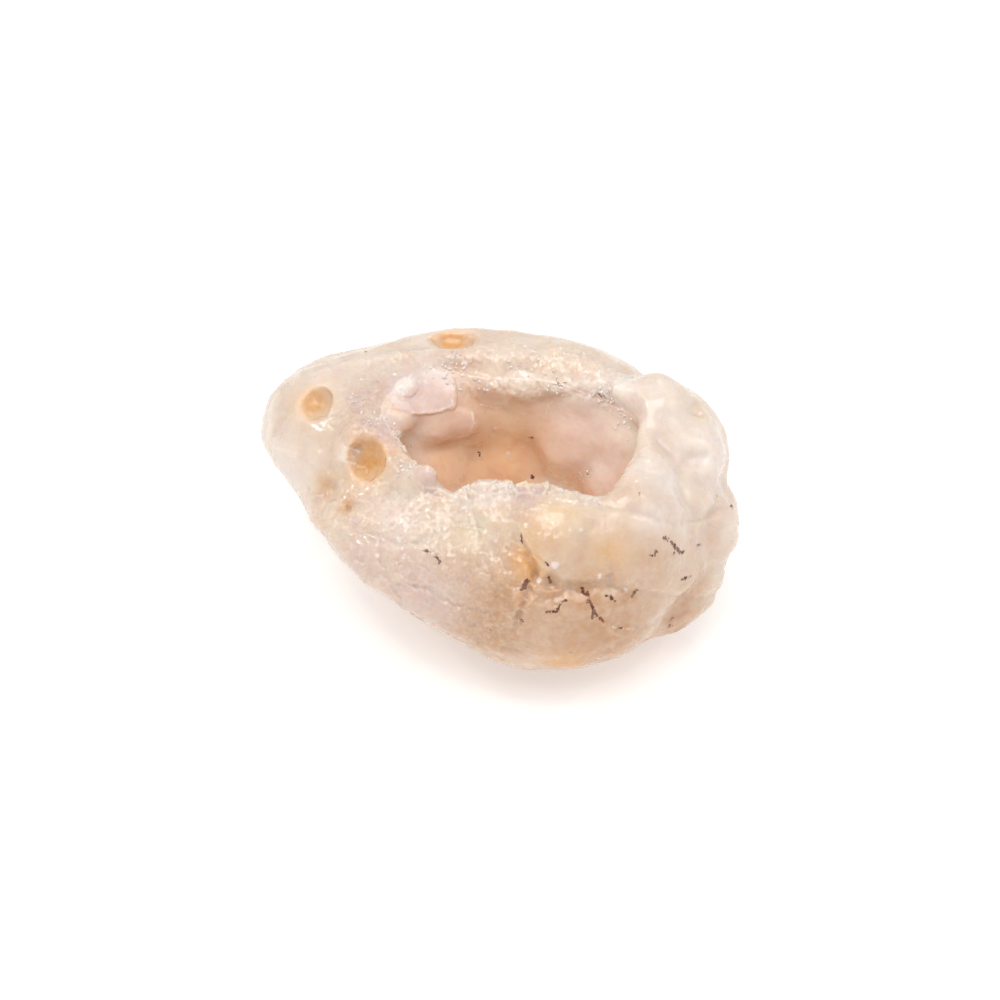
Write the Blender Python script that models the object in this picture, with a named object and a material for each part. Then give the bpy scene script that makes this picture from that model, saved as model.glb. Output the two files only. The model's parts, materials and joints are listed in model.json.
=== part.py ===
"""Agate geode: a teardrop nodule of pale chalcedony, broken open on top, with a crystal crust in its hollow.

Run it with: blender --background --python part.py
"""

import math
import random

import bmesh
import bpy
import numpy as np
from mathutils import Vector, noise

# Lengths below are millimetres. X runs along the stone with its blunt end at +X, and the hollow opens
# towards +Z.
MM = 0.001
SEED = 11

# The nodule is star-shaped: each point of its skin is a distance from HEART, along one direction.
HEART = (2.0, 1.0, 13.0)

# Rounded masses that the nodule is grown from: centre, radii, turn about Z in degrees, width of the blend.
MASSES = (
    ((6.0, -0.3, 13.0), (19.5, 21.0, 14.7), 0.0, 3.0),
    ((-9.5, 6.6, 18.5), (19.7, 12.6, 10.2), -14.0, 4.0),
    ((-6.5, -4.5, 12.0), (18.5, 14.5, 12.0), -10.0, 4.0),
    ((-5.0, 9.5, 18.5), (15.6, 12.1, 11.1), 0.0, 2.0),
    ((0.0, 9.5, 18.5), (20.5, 11.8, 11.0), 0.0, 2.0),
    ((17.4, 4.8, 18.0), (10.0, 10.0, 9.0), 0.0, 0.8),
    ((19.2, -1.0, 13.4), (9.3, 8.5, 6.7), 0.0, 0.8),
    ((17.5, -5.0, 8.1), (9.2, 9.1, 7.6), 0.0, 0.8),
    ((11.0, -6.9, 7.6), (10.5, 10.4, 7.9), 0.0, 1.5),
)

# Broken and worn faces that trim the masses: outward direction, distance from HEART, width of the blend.
FACES = (
    ((0.0, 0.0, 1.0), 14.5, 2.0),
    ((-0.781, -0.442, -0.442), 19.8, 1.5),
    ((-0.524, -0.602, -0.602), 16.7, 1.5),
)

# Rounded lumps on the skin: a point near the middle, radius, rise above the skin.
LUMPS = (
    ((7.5, -15.0, 23.8), 6.0, 1.3),
    ((17.7, -13.0, 20.0), 10.5, 1.0),
    ((19.1, -4.5, 24.2), 5.5, 0.9),
    ((23.4, -4.2, 19.5), 4.8, 0.8),
    ((21.5, 7.0, 25.8), 5.0, 0.7),
    ((25.0, 2.0, 22.0), 4.5, 0.6),
    ((-1.5, -13.0, 24.2), 4.5, 0.5),
    ((-12.5, -5.5, 24.4), 4.0, 0.5),
    ((-18.5, 0.5, 25.2), 4.0, 0.5),
)
LUMP_BLEND = 0.35

# Smaller lumps scattered over the back and the underside. The limits are on a direction's parts, and keep
# them off the front, the outline that the front shows, the two ends and the ground face.
SCATTERED_LUMPS = 46
SCATTERED_RADIUS = (4.5, 8.0)
SCATTERED_RISE = (0.3, 0.8)
BACK_LIMIT = 0.25
OUTLINE_LIMIT = 1.0
END_LIMIT = 0.8
GROUND_LIMIT = -0.85

# The skin's fine unevenness, and the coarser streaks of the fracture at the front left.
GRAIN_HEIGHT = 0.14
GRAIN_SIZE = 2.2
FRACTURE_FACING = (-0.55, -0.72, 0.35)
FRACTURE_RANGE = (0.55, 0.85)
FRACTURE_HEIGHT = 0.42
FRACTURE_SIZE = 5.0
FRACTURE_FINER = (1.0, 2.6, 2.0)

# Pits: centre, radii, turn about Z in degrees.
PITS = {
    "tip_pit": ((-21.9, 5.3, 26.4), (2.2, 2.3, 1.9), 0.0),
    "deep_pit": ((-15.4, -3.0, 24.9), (2.5, 2.6, 2.8), 0.0),
    "narrow_pit": ((-20.8, -3.1, 21.4), (1.8, 1.0, 1.2), -20.0),
    "small_pit": ((-17.7, -6.8, 20.8), (0.9, 0.8, 0.9), 0.0),
    "low_pit": ((-18.8, -8.4, 19.6), (0.9, 0.7, 0.8), 0.0),
    "back_pit": ((-5.7, 15.4, 27.5), (2.8, 1.6, 1.7), 0.0),
    "side_recess": ((22.6, -1.7, 23.6), (2.3, 1.2, 1.4), 35.0),
    "right_pit": ((23.6, 4.2, 25.3), (1.3, 0.7, 0.9), 20.0),
    "seam_hole": ((5.6, -18.3, 21.0), (0.8, 0.8, 0.8), 0.0),
}
PIT_ROUGHNESS = (0.9, 1.08)

# The underside is ground flat at this height, and the stone stands on it.
REST_HEIGHT = -1.2
GROUND_REACH = 40.0

# The hollow in the nodule and the crust that lines it are both measured from HOLLOW_HEART.
HOLLOW_HEART = (3.0, 1.2, 21.3)
HOLLOW_MASSES = (
    ((3.0, 1.3, 17.8), (16.3, 12.5, 13.2), 0.0, 1.0),
    ((1.9, 1.4, 29.0), (16.0, 12.2, 9.0), -14.0, 6.0),
)
HOLLOW_WOBBLE = 1.6
WOBBLE_RATE = 2.6
WOBBLE_PLACE = Vector((3.0, 7.0, 1.0))
GAP = 0.45

# The open space inside the crust, and the rounded bosses and ledges that stand into it: centre, radii, blend.
SPACE_MASSES = (
    ((3.0, 1.3, 18.0), (14.8, 10.9, 11.8), 0.0, 0.6),
    ((2.2, 1.9, 28.2), (14.5, 10.7, 7.5), -14.0, 0.6),
)
BOSSES = (
    ((10.2, 11.4, 15.6), (6.3, 6.3, 6.3), 0.2),
    ((-9.8, 11.0, 22.9), (5.8, 4.6, 3.2), 0.2),
    ((-6.2, 11.0, 20.0), (4.5, 4.5, 3.6), 0.2),
    ((-11.8, -0.5, 18.4), (3.4, 3.4, 3.4), 0.2),
    ((1.8, 12.6, 22.0), (2.7, 2.7, 2.7), 0.2),
    ((5.4, 12.8, 22.4), (2.7, 2.7, 2.7), 0.2),
)

# The crust is a ball pushed into a cup. From the ball's top down to INNER_ANGLE it is the face round the
# space, below OUTER_ANGLE it is the back against the stone, and between them it is the crest at the rim.
INNER_ANGLE = math.radians(112.0)
OUTER_ANGLE = math.radians(126.0)
RIM_SEARCH = (math.radians(60.0), math.radians(150.0))
RIM_SEARCH_STEPS = 26
RIM_RISE = 0.2
CREST_RISE = 0.25

# Crystal points: their height in the druse and on the bosses, and the share of the crust's corners that rise.
# Across the crest they get lower, and stop before the back.
POINT_HEIGHT = (0.4, 1.0)
CREST_LOWERING = 0.5
CREST_LIMIT = 0.8
FROST_HEIGHT = 0.1
POINT_SHARE = 0.95
POINT_SHAKE = 0.016

# The druse is a band round the rim. It is thin over the smooth ledge and low along the blunt side.
# Bearings are in degrees round the hollow's middle.
DRUSE_FROM = 21.8
DRUSE_FULL = 23.6
LEDGE_BEARING = 143.0
LEDGE_SPREAD = 17.0
LEDGE_THINNING = 0.85
SIDE_BEARING = -5.0
SIDE_SPREAD = 38.0
SIDE_THINNING = 0.5

# How far the ball of triangles is divided for each body, and the share of the stone's triangles that is kept.
STONE_DIVISIONS = 6
STONE_SHARE = 0.146
HOLLOW_DIVISIONS = 4
CRUST_DIVISIONS = 5
PIT_DIVISIONS = 2
SHARP_EDGE = math.radians(40.0)


def unit(vector):
    """The vector as a numpy array of length 1."""
    vector = np.asarray(vector, float)
    return vector / np.linalg.norm(vector)


def smooth_max(a, b, width):
    """The larger of two distances, blended over a width."""
    share = np.clip(0.5 + 0.5 * (a - b) / width, 0.0, 1.0)
    return b * (1.0 - share) + a * share + width * share * (1.0 - share)


def smooth_min(a, b, width):
    """The smaller of two distances, blended over a width."""
    return -smooth_max(-a, -b, width)


def smooth_step(low, high, value):
    """0 below low, 1 above high, an even rise between."""
    share = np.clip((value - low) / (high - low), 0.0, 1.0)
    return share * share * (3.0 - 2.0 * share)


def crossings(directions, start, centre, radii, turn=0.0):
    """Distances along each direction to an ellipsoid's near and far side, NaN where it is missed."""
    c, s = math.cos(math.radians(turn)), math.sin(math.radians(turn))
    into = np.array(((c, s, 0.0), (-s, c, 0.0), (0.0, 0.0, 1.0)))
    scaled = directions @ into.T / np.array(radii)
    offset = into @ (np.array(start) - np.array(centre)) / np.array(radii)
    square = (scaled**2).sum(1)
    along = scaled @ offset
    root = along**2 - square * (offset @ offset - 1.0)
    root = np.sqrt(np.where(root > 0.0, root, np.nan))
    return (-along - root) / square, (-along + root) / square


def grown(directions, start, masses):
    """Distance from start to the skin of all the masses together."""
    reach = np.zeros(len(directions))
    for centre, radii, turn, width in masses:
        far = crossings(directions, start, centre, radii, turn)[1]
        reach = smooth_max(reach, np.maximum(np.nan_to_num(far, nan=0.0), 0.0), width)
    return reach


def trimmed(directions, reach, faces):
    """The distances cut back to the flat faces."""
    for normal, away, width in faces:
        facing = np.maximum(directions @ unit(normal), 0.01)
        reach = smooth_min(reach, away / facing, width)
    return reach


def plain_reach(directions):
    """Distance from HEART to the nodule's skin, before its lumps."""
    return trimmed(directions, grown(directions, HEART, MASSES), FACES)


def faces_away(direction):
    """Whether a direction from HEART is on the back or the underside, and off the ends."""
    x, y, z = direction
    off_the_front = y - z > BACK_LIMIT and abs(y + z) < OUTLINE_LIMIT
    return off_the_front and abs(x) < END_LIMIT and z > GROUND_LIMIT


def scattered_lumps():
    """Lumps like those in LUMPS, at chance places."""
    chance = random.Random(SEED)
    found = []
    while len(found) < SCATTERED_LUMPS:
        direction = unit([chance.gauss(0.0, 1.0) for _ in range(3)])
        if faces_away(direction):
            radius = chance.uniform(*SCATTERED_RADIUS)
            rise = chance.uniform(*SCATTERED_RISE)
            found.append((np.array(HEART) + direction, radius, rise))
    return found


def placed_lumps():
    """Centre and radius of each lump, sunk in the skin so that it rises by its own height."""
    placed = []
    for point, radius, rise in list(LUMPS) + scattered_lumps():
        direction = unit(np.array(point) - np.array(HEART))
        reach = plain_reach(direction[None])[0]
        placed.append((np.array(HEART) + direction * (reach + rise - radius), radius))
    return placed


def nodule_reach(directions):
    """Distance from HEART to the nodule's skin."""
    reach = plain_reach(directions)
    for centre, radius in placed_lumps():
        far = crossings(directions, HEART, centre, (radius, radius, radius))[1]
        reach = smooth_max(reach, np.nan_to_num(far, nan=0.0), LUMP_BLEND)
    return reach


def rough_reach(directions):
    """The nodule's skin with its grain, coarsest on the fracture at the front left."""
    reach = nodule_reach(directions)
    broken = smooth_step(*FRACTURE_RANGE, directions @ unit(FRACTURE_FACING))
    along, across, deep = FRACTURE_FINER
    rise = np.zeros(len(directions))
    for i, (x, y, z) in enumerate(directions * reach[:, None]):
        grain = noise.noise(Vector((x, y, z)) / GRAIN_SIZE)
        streak = noise.noise(Vector((along * (x + z), across * (x - z), deep * y)) / FRACTURE_SIZE)
        rise[i] = GRAIN_HEIGHT * grain + FRACTURE_HEIGHT * broken[i] * streak
    return reach + rise


def wobble(directions):
    """Slow unevenness round the hollow."""
    return HOLLOW_WOBBLE * np.array([noise.noise(Vector(d) * WOBBLE_RATE + WOBBLE_PLACE) for d in directions])


def hollow_reach(directions):
    """Distance from HOLLOW_HEART to the wall of the nodule's hollow."""
    return grown(directions, HOLLOW_HEART, HOLLOW_MASSES) + wobble(directions)


def back_reach(directions):
    """Distance from HOLLOW_HEART to the back of the crust, clear of the wall all round."""
    masses = [(centre, np.array(radii) - GAP, turn, width) for centre, radii, turn, width in HOLLOW_MASSES]
    return grown(directions, HOLLOW_HEART, masses) + wobble(directions)


def space_reach(directions):
    """Distance from HOLLOW_HEART to the face of the crust."""
    reach = grown(directions, HOLLOW_HEART, SPACE_MASSES) + wobble(directions)
    for centre, radii, width in BOSSES:
        near = crossings(directions, HOLLOW_HEART, centre, radii)[0]
        near = np.where(np.isnan(near) | (near < 0.0), np.inf, near)
        reach = smooth_min(reach, np.minimum(near, reach + width), width)
    return reach


def rays(polar, azimuth):
    """Directions at an angle up from straight down, and round the Z axis from +X."""
    flat = np.sin(polar)
    return np.stack((flat * np.cos(azimuth), flat * np.sin(azimuth), -np.cos(polar)), axis=1)


def rim_angle(azimuth):
    """Angle up from straight down at which the back of the crust comes out at the nodule's skin."""
    low = np.full(len(azimuth), RIM_SEARCH[0])
    high = np.full(len(azimuth), RIM_SEARCH[1])
    for _ in range(RIM_SEARCH_STEPS):
        middle = (low + high) / 2.0
        direction = rays(middle, azimuth)
        away = np.array(HOLLOW_HEART) + direction * back_reach(direction)[:, None] - np.array(HEART)
        length = np.linalg.norm(away, axis=1)
        inside = length < nodule_reach(away / length[:, None]) + RIM_RISE
        low = np.where(inside, middle, low)
        high = np.where(inside, high, middle)
    return low


def collection_named(name):
    """A new collection in the scene."""
    made = bpy.data.collections.new(name)
    bpy.context.scene.collection.children.link(made)
    return made


def linked(name, shape, collection, frame):
    """An object in the collection and in the frame, made from a bmesh in millimetres."""
    bmesh.ops.scale(shape, vec=(MM, MM, MM), verts=shape.verts)
    mesh = bpy.data.meshes.new(name)
    shape.to_mesh(mesh)
    shape.free()
    made = bpy.data.objects.new(name, mesh)
    made.parent = frame
    collection.objects.link(made)
    return made


def ball(divisions):
    """A ball of triangles, and the directions of its corners."""
    shape = bmesh.new()
    bmesh.ops.create_icosphere(shape, subdivisions=divisions, radius=1.0)
    corners = np.array([v.co[:] for v in shape.verts])
    return shape, corners / np.linalg.norm(corners, axis=1)[:, None]


def move_corners(shape, points):
    """Put each corner of the bmesh at its point."""
    for vertex, point in zip(shape.verts, points):
        vertex.co = point


def star_object(name, start, reach_of, divisions, collection, frame):
    """A closed body whose skin lies at reach_of(directions) from start."""
    shape, directions = ball(divisions)
    move_corners(shape, np.array(start) + directions * reach_of(directions)[:, None])
    return linked(name, shape, collection, frame)


def pit_cutter(name, centre, radii, turn, collection, frame):
    """A rough ellipsoid in the place of a pit."""
    shape, corners = ball(PIT_DIVISIONS)
    chance = random.Random(name)
    move_corners(shape, [c * np.array(radii) * chance.uniform(*PIT_ROUGHNESS) for c in corners])
    made = linked(name, shape, collection, frame)
    made.location = Vector(centre) * MM
    made.rotation_euler.z = math.radians(turn)
    return made


def ground_cutter(name, collection, frame):
    """A block with its top at the height of the ground face."""
    shape = bmesh.new()
    bmesh.ops.create_cube(shape, size=2.0 * GROUND_REACH)
    made = linked(name, shape, collection, frame)
    made.location.z = (REST_HEIGHT - GROUND_REACH) * MM
    return made


def druse(point):
    """How thickly crystal points stand at a place on the crust's face, from 0 to 1."""
    x, y, z = np.array(point) - np.array(HOLLOW_HEART) * (1.0, 1.0, 0.0)
    band = smooth_step(DRUSE_FROM, DRUSE_FULL, z)
    bearing = math.degrees(math.atan2(y, x))
    ledge = LEDGE_THINNING * math.exp(-(((bearing - LEDGE_BEARING) / LEDGE_SPREAD) ** 2))
    side = SIDE_THINNING * math.exp(-(((bearing - SIDE_BEARING) / SIDE_SPREAD) ** 2))
    return band * (1.0 - ledge) * (1.0 - side)


def cup_points(corners):
    """Where the ball's corners go in the cup, and how far each one is across the crest, from face to back."""
    azimuth = np.arctan2(corners[:, 1], corners[:, 0])
    turn = np.arccos(np.clip(corners[:, 2], -1.0, 1.0))
    rim = rim_angle(azimuth)
    across = np.clip((turn - INNER_ANGLE) / (OUTER_ANGLE - INNER_ANGLE), 0.0, 1.0)
    face = rays(rim * np.minimum(turn / INNER_ANGLE, 1.0), azimuth)
    back = rays(rim * np.minimum((math.pi - turn) / (math.pi - OUTER_ANGLE), 1.0), azimuth)
    reach = space_reach(face) * (1.0 - across), back_reach(back) * across
    points = np.array(HOLLOW_HEART) + face * reach[0][:, None] + back * reach[1][:, None]
    points[:, 2] += CREST_RISE * np.sin(across * math.pi)
    return points, across


def raise_points(shape, across, chance):
    """Raise corners that aren't neighbours, so that the triangles round each one make a crystal point."""
    shape.normal_update()
    shape.verts.ensure_lookup_table()
    normals = [v.normal.copy() for v in shape.verts]
    thickness = [druse(v.co) for v in shape.verts]
    order = [v.index for v in shape.verts if across[v.index] < CREST_LIMIT]
    chance.shuffle(order)
    beside_a_point = set()
    for i in order:
        if i in beside_a_point or chance.random() > POINT_SHARE:
            continue
        vertex = shape.verts[i]
        beside_a_point.update(edge.other_vert(vertex).index for edge in vertex.link_edges)
        height = chance.uniform(*POINT_HEIGHT) * (1.0 - CREST_LOWERING * across[i])
        vertex.co += normals[i] * (height * thickness[i] + FROST_HEIGHT * (1.0 - thickness[i]))


def crust_object(name, collection, frame):
    """The crust as one closed cup: smooth bosses below, a band of crystal points round the rim."""
    shape, corners = ball(CRUST_DIVISIONS)
    chance = random.Random(SEED)
    shaken = corners + [[chance.uniform(-POINT_SHAKE, POINT_SHAKE) for _ in range(3)] for _ in corners]
    points, across = cup_points(shaken / np.linalg.norm(shaken, axis=1)[:, None])
    move_corners(shape, points)
    raise_points(shape, across, chance)
    return linked(name, shape, collection, frame)


def cut(target, cutter):
    """Cut the other body from the target."""
    modifier = target.modifiers.new(cutter.name, "BOOLEAN")
    modifier.operation = "DIFFERENCE"
    modifier.solver = "EXACT"
    modifier.object = cutter
    cutter.hide_render = True
    cutter.display_type = "WIRE"


def thin_out(target, share):
    """Merge small triangles where the skin bends little."""
    modifier = target.modifiers.new("thin_out", "DECIMATE")
    modifier.ratio = share


def paint(target, name, colour, roughness):
    """Give the body its own material."""
    material = bpy.data.materials.new(name)
    material.use_nodes = True
    shader = material.node_tree.nodes["Principled BSDF"]
    shader.inputs["Base Color"].default_value = (*colour, 1.0)
    shader.inputs["Roughness"].default_value = roughness
    shader.inputs["Metallic"].default_value = 0.0
    target.data.materials.append(material)


def geode_stone(parts, cutters, frame):
    """The nodule with its hollow, its pits and its ground face."""
    stone = star_object("geode_stone", HEART, rough_reach, STONE_DIVISIONS, parts, frame)
    stone.data.shade_smooth()
    stone.data.set_sharp_from_angle(angle=SHARP_EDGE)
    paint(stone, "pale_chalcedony", (0.78, 0.58, 0.46), 0.45)
    thin_out(stone, STONE_SHARE)
    cut(stone, star_object("hollow", HOLLOW_HEART, hollow_reach, HOLLOW_DIVISIONS, cutters, frame))
    for name, (centre, radii, turn) in PITS.items():
        cut(stone, pit_cutter(name, centre, radii, turn, cutters, frame))
    cut(stone, ground_cutter("ground_face", cutters, frame))
    return stone


def stand_on_origin(frame, body):
    """Move the frame so that the finished body's bounds stand centred on the origin."""
    finished = body.evaluated_get(bpy.context.evaluated_depsgraph_get())
    corners = np.array([v.co[:] for v in finished.data.vertices])
    middle = (corners.min(0) + corners.max(0)) / 2.0
    frame.location = (-middle[0], -middle[1], -REST_HEIGHT * MM)


def main():
    """Model the geode, standing on the origin."""
    for old in list(bpy.data.objects):
        bpy.data.objects.remove(old)
    parts = collection_named("agate_geode")
    cutters = collection_named("cutters")
    frame = bpy.data.objects.new("geode_frame", None)
    parts.objects.link(frame)
    stone = geode_stone(parts, cutters, frame)
    crust = crust_object("crystal_crust", parts, frame)
    paint(crust, "crystal_crust", (0.84, 0.71, 0.64), 0.25)
    stand_on_origin(frame, stone)


main()
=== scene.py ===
"""Agate geode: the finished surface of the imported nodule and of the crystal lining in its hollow."""

import json
import math

import bmesh
import bpy
import numpy as np
from bpy.props import FloatProperty, FloatVectorProperty, IntProperty, PointerProperty
from mathutils import Matrix, Vector, noise
from mathutils.bvhtree import BVHTree

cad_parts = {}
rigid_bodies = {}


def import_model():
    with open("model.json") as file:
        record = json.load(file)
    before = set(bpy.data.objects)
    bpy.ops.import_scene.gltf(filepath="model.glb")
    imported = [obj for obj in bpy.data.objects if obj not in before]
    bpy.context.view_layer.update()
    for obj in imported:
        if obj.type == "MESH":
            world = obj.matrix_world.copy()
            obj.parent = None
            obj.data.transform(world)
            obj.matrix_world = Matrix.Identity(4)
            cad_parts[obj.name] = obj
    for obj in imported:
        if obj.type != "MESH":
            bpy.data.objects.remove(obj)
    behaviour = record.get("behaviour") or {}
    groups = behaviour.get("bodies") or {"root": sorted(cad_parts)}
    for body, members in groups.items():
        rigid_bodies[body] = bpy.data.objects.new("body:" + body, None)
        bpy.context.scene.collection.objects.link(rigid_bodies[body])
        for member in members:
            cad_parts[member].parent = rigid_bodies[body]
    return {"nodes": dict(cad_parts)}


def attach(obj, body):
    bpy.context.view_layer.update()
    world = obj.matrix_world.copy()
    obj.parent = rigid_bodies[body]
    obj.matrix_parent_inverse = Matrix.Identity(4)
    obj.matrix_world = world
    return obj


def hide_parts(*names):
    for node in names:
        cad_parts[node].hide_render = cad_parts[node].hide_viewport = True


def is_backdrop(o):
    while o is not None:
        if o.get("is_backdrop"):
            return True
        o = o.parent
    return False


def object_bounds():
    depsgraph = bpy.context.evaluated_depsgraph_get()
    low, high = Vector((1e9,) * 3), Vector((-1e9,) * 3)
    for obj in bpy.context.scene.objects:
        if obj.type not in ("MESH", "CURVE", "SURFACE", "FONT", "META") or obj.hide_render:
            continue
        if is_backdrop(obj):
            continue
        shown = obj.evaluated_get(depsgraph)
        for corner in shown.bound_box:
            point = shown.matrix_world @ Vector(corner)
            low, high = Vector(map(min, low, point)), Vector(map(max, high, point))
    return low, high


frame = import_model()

bl_info = {
    "name": "Agate Geode",
    "version": (1, 0, 0),
    "blender": (4, 5, 0),
    "location": "View3D > Sidebar > Geode",
    "description": "Builds the finished surface of an agate geode round its plain solids",
    "category": "Add Mesh",
}

# Lengths are millimetres unless a name says otherwise. The solids themselves are in metres.
MM = 0.001
CAD_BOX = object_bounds()
SEED = 11
FAR = 50.0

# The photograph's camera: it looks along +Y and down, at a point inside the stone.
PHOTO_SIDE = 1000.0
LENS = 100.0
SENSOR = 36.0
CAMERA_TILT = math.radians(45.0)
CAMERA_AIM = Vector((0.18, -0.48, 16.5))
CAMERA_DISTANCE = 330.6

# The floor and the soft lights, in metres. The small ones make the crystals sparkle.
FLOOR_SIDE = 4.0
NEAREST_SHOWN = 0.01
LIGHT_AIM = Vector((0.0, 0.0, 0.015))
KEY_PLACE = (-0.02, -0.12, 0.43)
KEY_SIDE = 0.30
FILL_LIGHTS = {
    "right_fill": (0.30, -0.04, 0.28),
    "left_fill": (-0.28, 0.08, 0.30),
}
FILL_SIDE = 0.20
GLINT_LIGHTS = {
    "left_glint": (-0.26, 0.05, 0.24),
    "back_glint": (0.08, 0.30, 0.26),
    "right_glint": (0.26, 0.02, 0.28),
    "front_glint": (-0.10, -0.10, 0.34),
}
GLINT_SIDE = 0.025

# The middle of the nodule and of its hollow, from which directions are taken.
STONE_HEART = np.array((2.2, 0.53, 14.2))
HOLLOW_HEART = np.array((3.2, 0.73, 22.5))
HOLLOW_MOUTH = np.array((3.2, 0.73, 27.0))

# Noise is given by three numbers: size of its features, height, place in the noise. First comes the
# unevenness that the skin and the lining share, then the chips of broken and sugary places, then size
# and height of the outer skin's flats, and last how far the whole lining is raised.
GRAIN_WAVES = ((2.4, 0.14, 0.0), (0.7, 0.03, 3.0))
BROKEN_CHIPS = ((2.2, 0.17, 0.0), (0.9, 0.06, 5.0))
SKIN_FLATS = (5.0, 0.08)
LINING_SKIN = 0.05

# The rough fracture at the front left: the side it lies on, how far it spreads, and how sugary it is.
# Sugary places are in turn almost as rough as the fracture.
BROKEN_SIDE = (-0.55, -0.72, 0.35)
BROKEN_FADE = (0.55, 0.85)
BROKEN_SUGAR = 0.7
SUGAR_BREAK = 0.9
SMALLEST_SHARE = 0.02

# Where a surface counts as facing the hollow or the camera.
FACING_FADE = (-0.1, 0.3)
SHOWN_FADE = (0.0, 0.2)

# The flat ground face: below the first level all is flat, and over the others the relief begins.
GROUND_LEVEL = 0.12
GROUND_FADE = (0.1, 1.5)

# Smoothing rounds of the fused bodies.
SKIN_ROUNDS = 5
LINING_ROUNDS = 140
SMOOTHING = 0.5

# How near the grooves, flecks and pale lines the cells are halved, once for each number, and how near
# the pits the first time.
REFINE_REACHES = (0.8, 0.4)
REFINE_PITS = 1.28

# Pits in the skin: centre, radii, turn about Z in degrees, raggedness of the edge.
PITS = {
    "tip_pit": ((-21.7, 4.9, 27.5), (2.4, 2.3, 1.9), 0.0, 0.16),
    "deep_pit": ((-15.3, -3.8, 27.2), (2.4, 2.3, 3.6), 0.0, 0.14),
    "narrow_pit": ((-20.6, -3.7, 22.7), (2.2, 0.8, 1.0), -16.0, 0.2),
    "back_pit": ((-5.5, 14.9, 28.8), (2.8, 1.6, 1.7), 0.0, 0.10),
    "seam_hole": ((5.9, -18.8, 22.4), (0.9, 0.7, 0.5), 0.0, 0.4),
}

# A pit's wall is pushed out from a point over its mouth, which leans towards the sky.
PIT_MOUTH = 1.6
PIT_LEAN = 0.6

# The noise of a pit's wall, the size of its ragged edge's features, and the heights where that begins.
PIT_UNEVEN = (0.45, 0.09, 2.0)
PIT_RAGGED_SIZE = 0.5
PIT_LIP = (-0.6, 0.2)

# How the edge of a pit is softened, and where round a pit crystals and clouds begin.
PIT_EDGE = 0.22
PIT_ROUNDS = 14
PIT_CLEAR = (1.05, 1.25)

# Broad swells of the skin, by the photograph's pixels: pixel, reach, rise.
SWELLS = {
    "knob": ((566, 541), 4.6, 0.35),
    "far_lump": ((712, 505), 3.0, 0.3),
    "seam_bed": ((560, 594), 2.6, -0.4),
    "dark_hole": ((550, 580), 1.0, -0.3),
    "right_pit": ((700, 418), 1.4, 0.4),
    "low_right": ((676, 636), 8.0, -0.9),
    "low_middle": ((620, 668), 6.0, -0.4),
}

# Raised fields of the skin, by the photograph's pixels: rise, half width of the edge, outline.
FIELDS = {
    "knob": (0.4, 0.7, (
        (519, 512), (540, 505), (630, 509), (634, 540), (624, 572),
        (592, 582), (562, 581), (545, 576), (531, 560), (522, 540),
    )),
    "bulge": (0.45, 0.5, (
        (604, 509), (640, 515), (672, 524), (700, 520), (735, 505), (740, 560),
        (725, 588), (700, 596), (668, 593), (640, 592), (614, 584), (608, 560),
    )),
    "white_cap": (0.6, 1.3, (
        (610, 470), (650, 455), (715, 470), (712, 505), (690, 522), (668, 524), (640, 514), (612, 505),
    )),
    "low_lobe": (0.3, 0.5, (
        (604, 624), (624, 629), (650, 629), (676, 624), (702, 610),
        (720, 596), (712, 640), (660, 664), (610, 660),
    )),
    "pink_patch": (0.3, 0.3, ((512, 592), (526, 588), (533, 598), (528, 612), (516, 612))),
}
FIELD_REACH = 14.0
FIELD_WAVES = (1.5, 0.35, 9.0)

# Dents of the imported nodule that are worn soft, by the photograph's pixels: pixel, reach.
SOFT_SPOTS = {
    "side_recess": ((692, 464), 2.0),
    "small_pit": ((347, 507), 1.5),
    "low_pit": ((338, 522), 1.5),
    "deep_pit_top": ((366, 430), 1.7),
    "seam_side": ((553, 590), 1.2),
}

# Lines in the skin, by the photograph's pixels: depth, half width, path.
GROOVES = {
    "knob_left": (0.4, 0.6, ((522, 540), (525, 548), (530, 560), (536, 575))),
    "knob_foot": (0.45, 0.9, ((536, 575), (548, 586), (566, 590), (585, 589), (600, 588), (616, 589))),
    "knob_right": (0.2, 1.3, ((604, 512), (605, 535), (607, 560), (612, 582))),
    "left_seam": (0.4, 0.5, ((536, 575), (528, 590), (521, 610), (514, 630))),
    "seam_foot": (0.3, 0.5, ((524, 589), (545, 600), (560, 598))),
    "front_crack": (0.12, 0.4, ((470, 498), (478, 530), (484, 560), (498, 590))),
    "left_crack": (0.15, 0.4, ((345, 520), (372, 540), (410, 545), (440, 532))),
    "low_crack": (0.18, 0.4, ((400, 585), (430, 590), (452, 605), (486, 612))),
    "tip_ridge": (-0.3, 1.2, ((270, 445), (300, 456), (325, 461))),
    "back_ridge": (-0.3, 0.7, ((300, 380), (340, 368), (385, 358), (430, 352))),
}
GROOVE_REACH = 3.0
GROOVE_WAVES = (2.0, 1.0, 4.0)
GROOVE_LIMITS = (0.3, 1.5)

# Up to what distance flecks and pale lines are told.
LINE_REACH = 2.0

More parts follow.
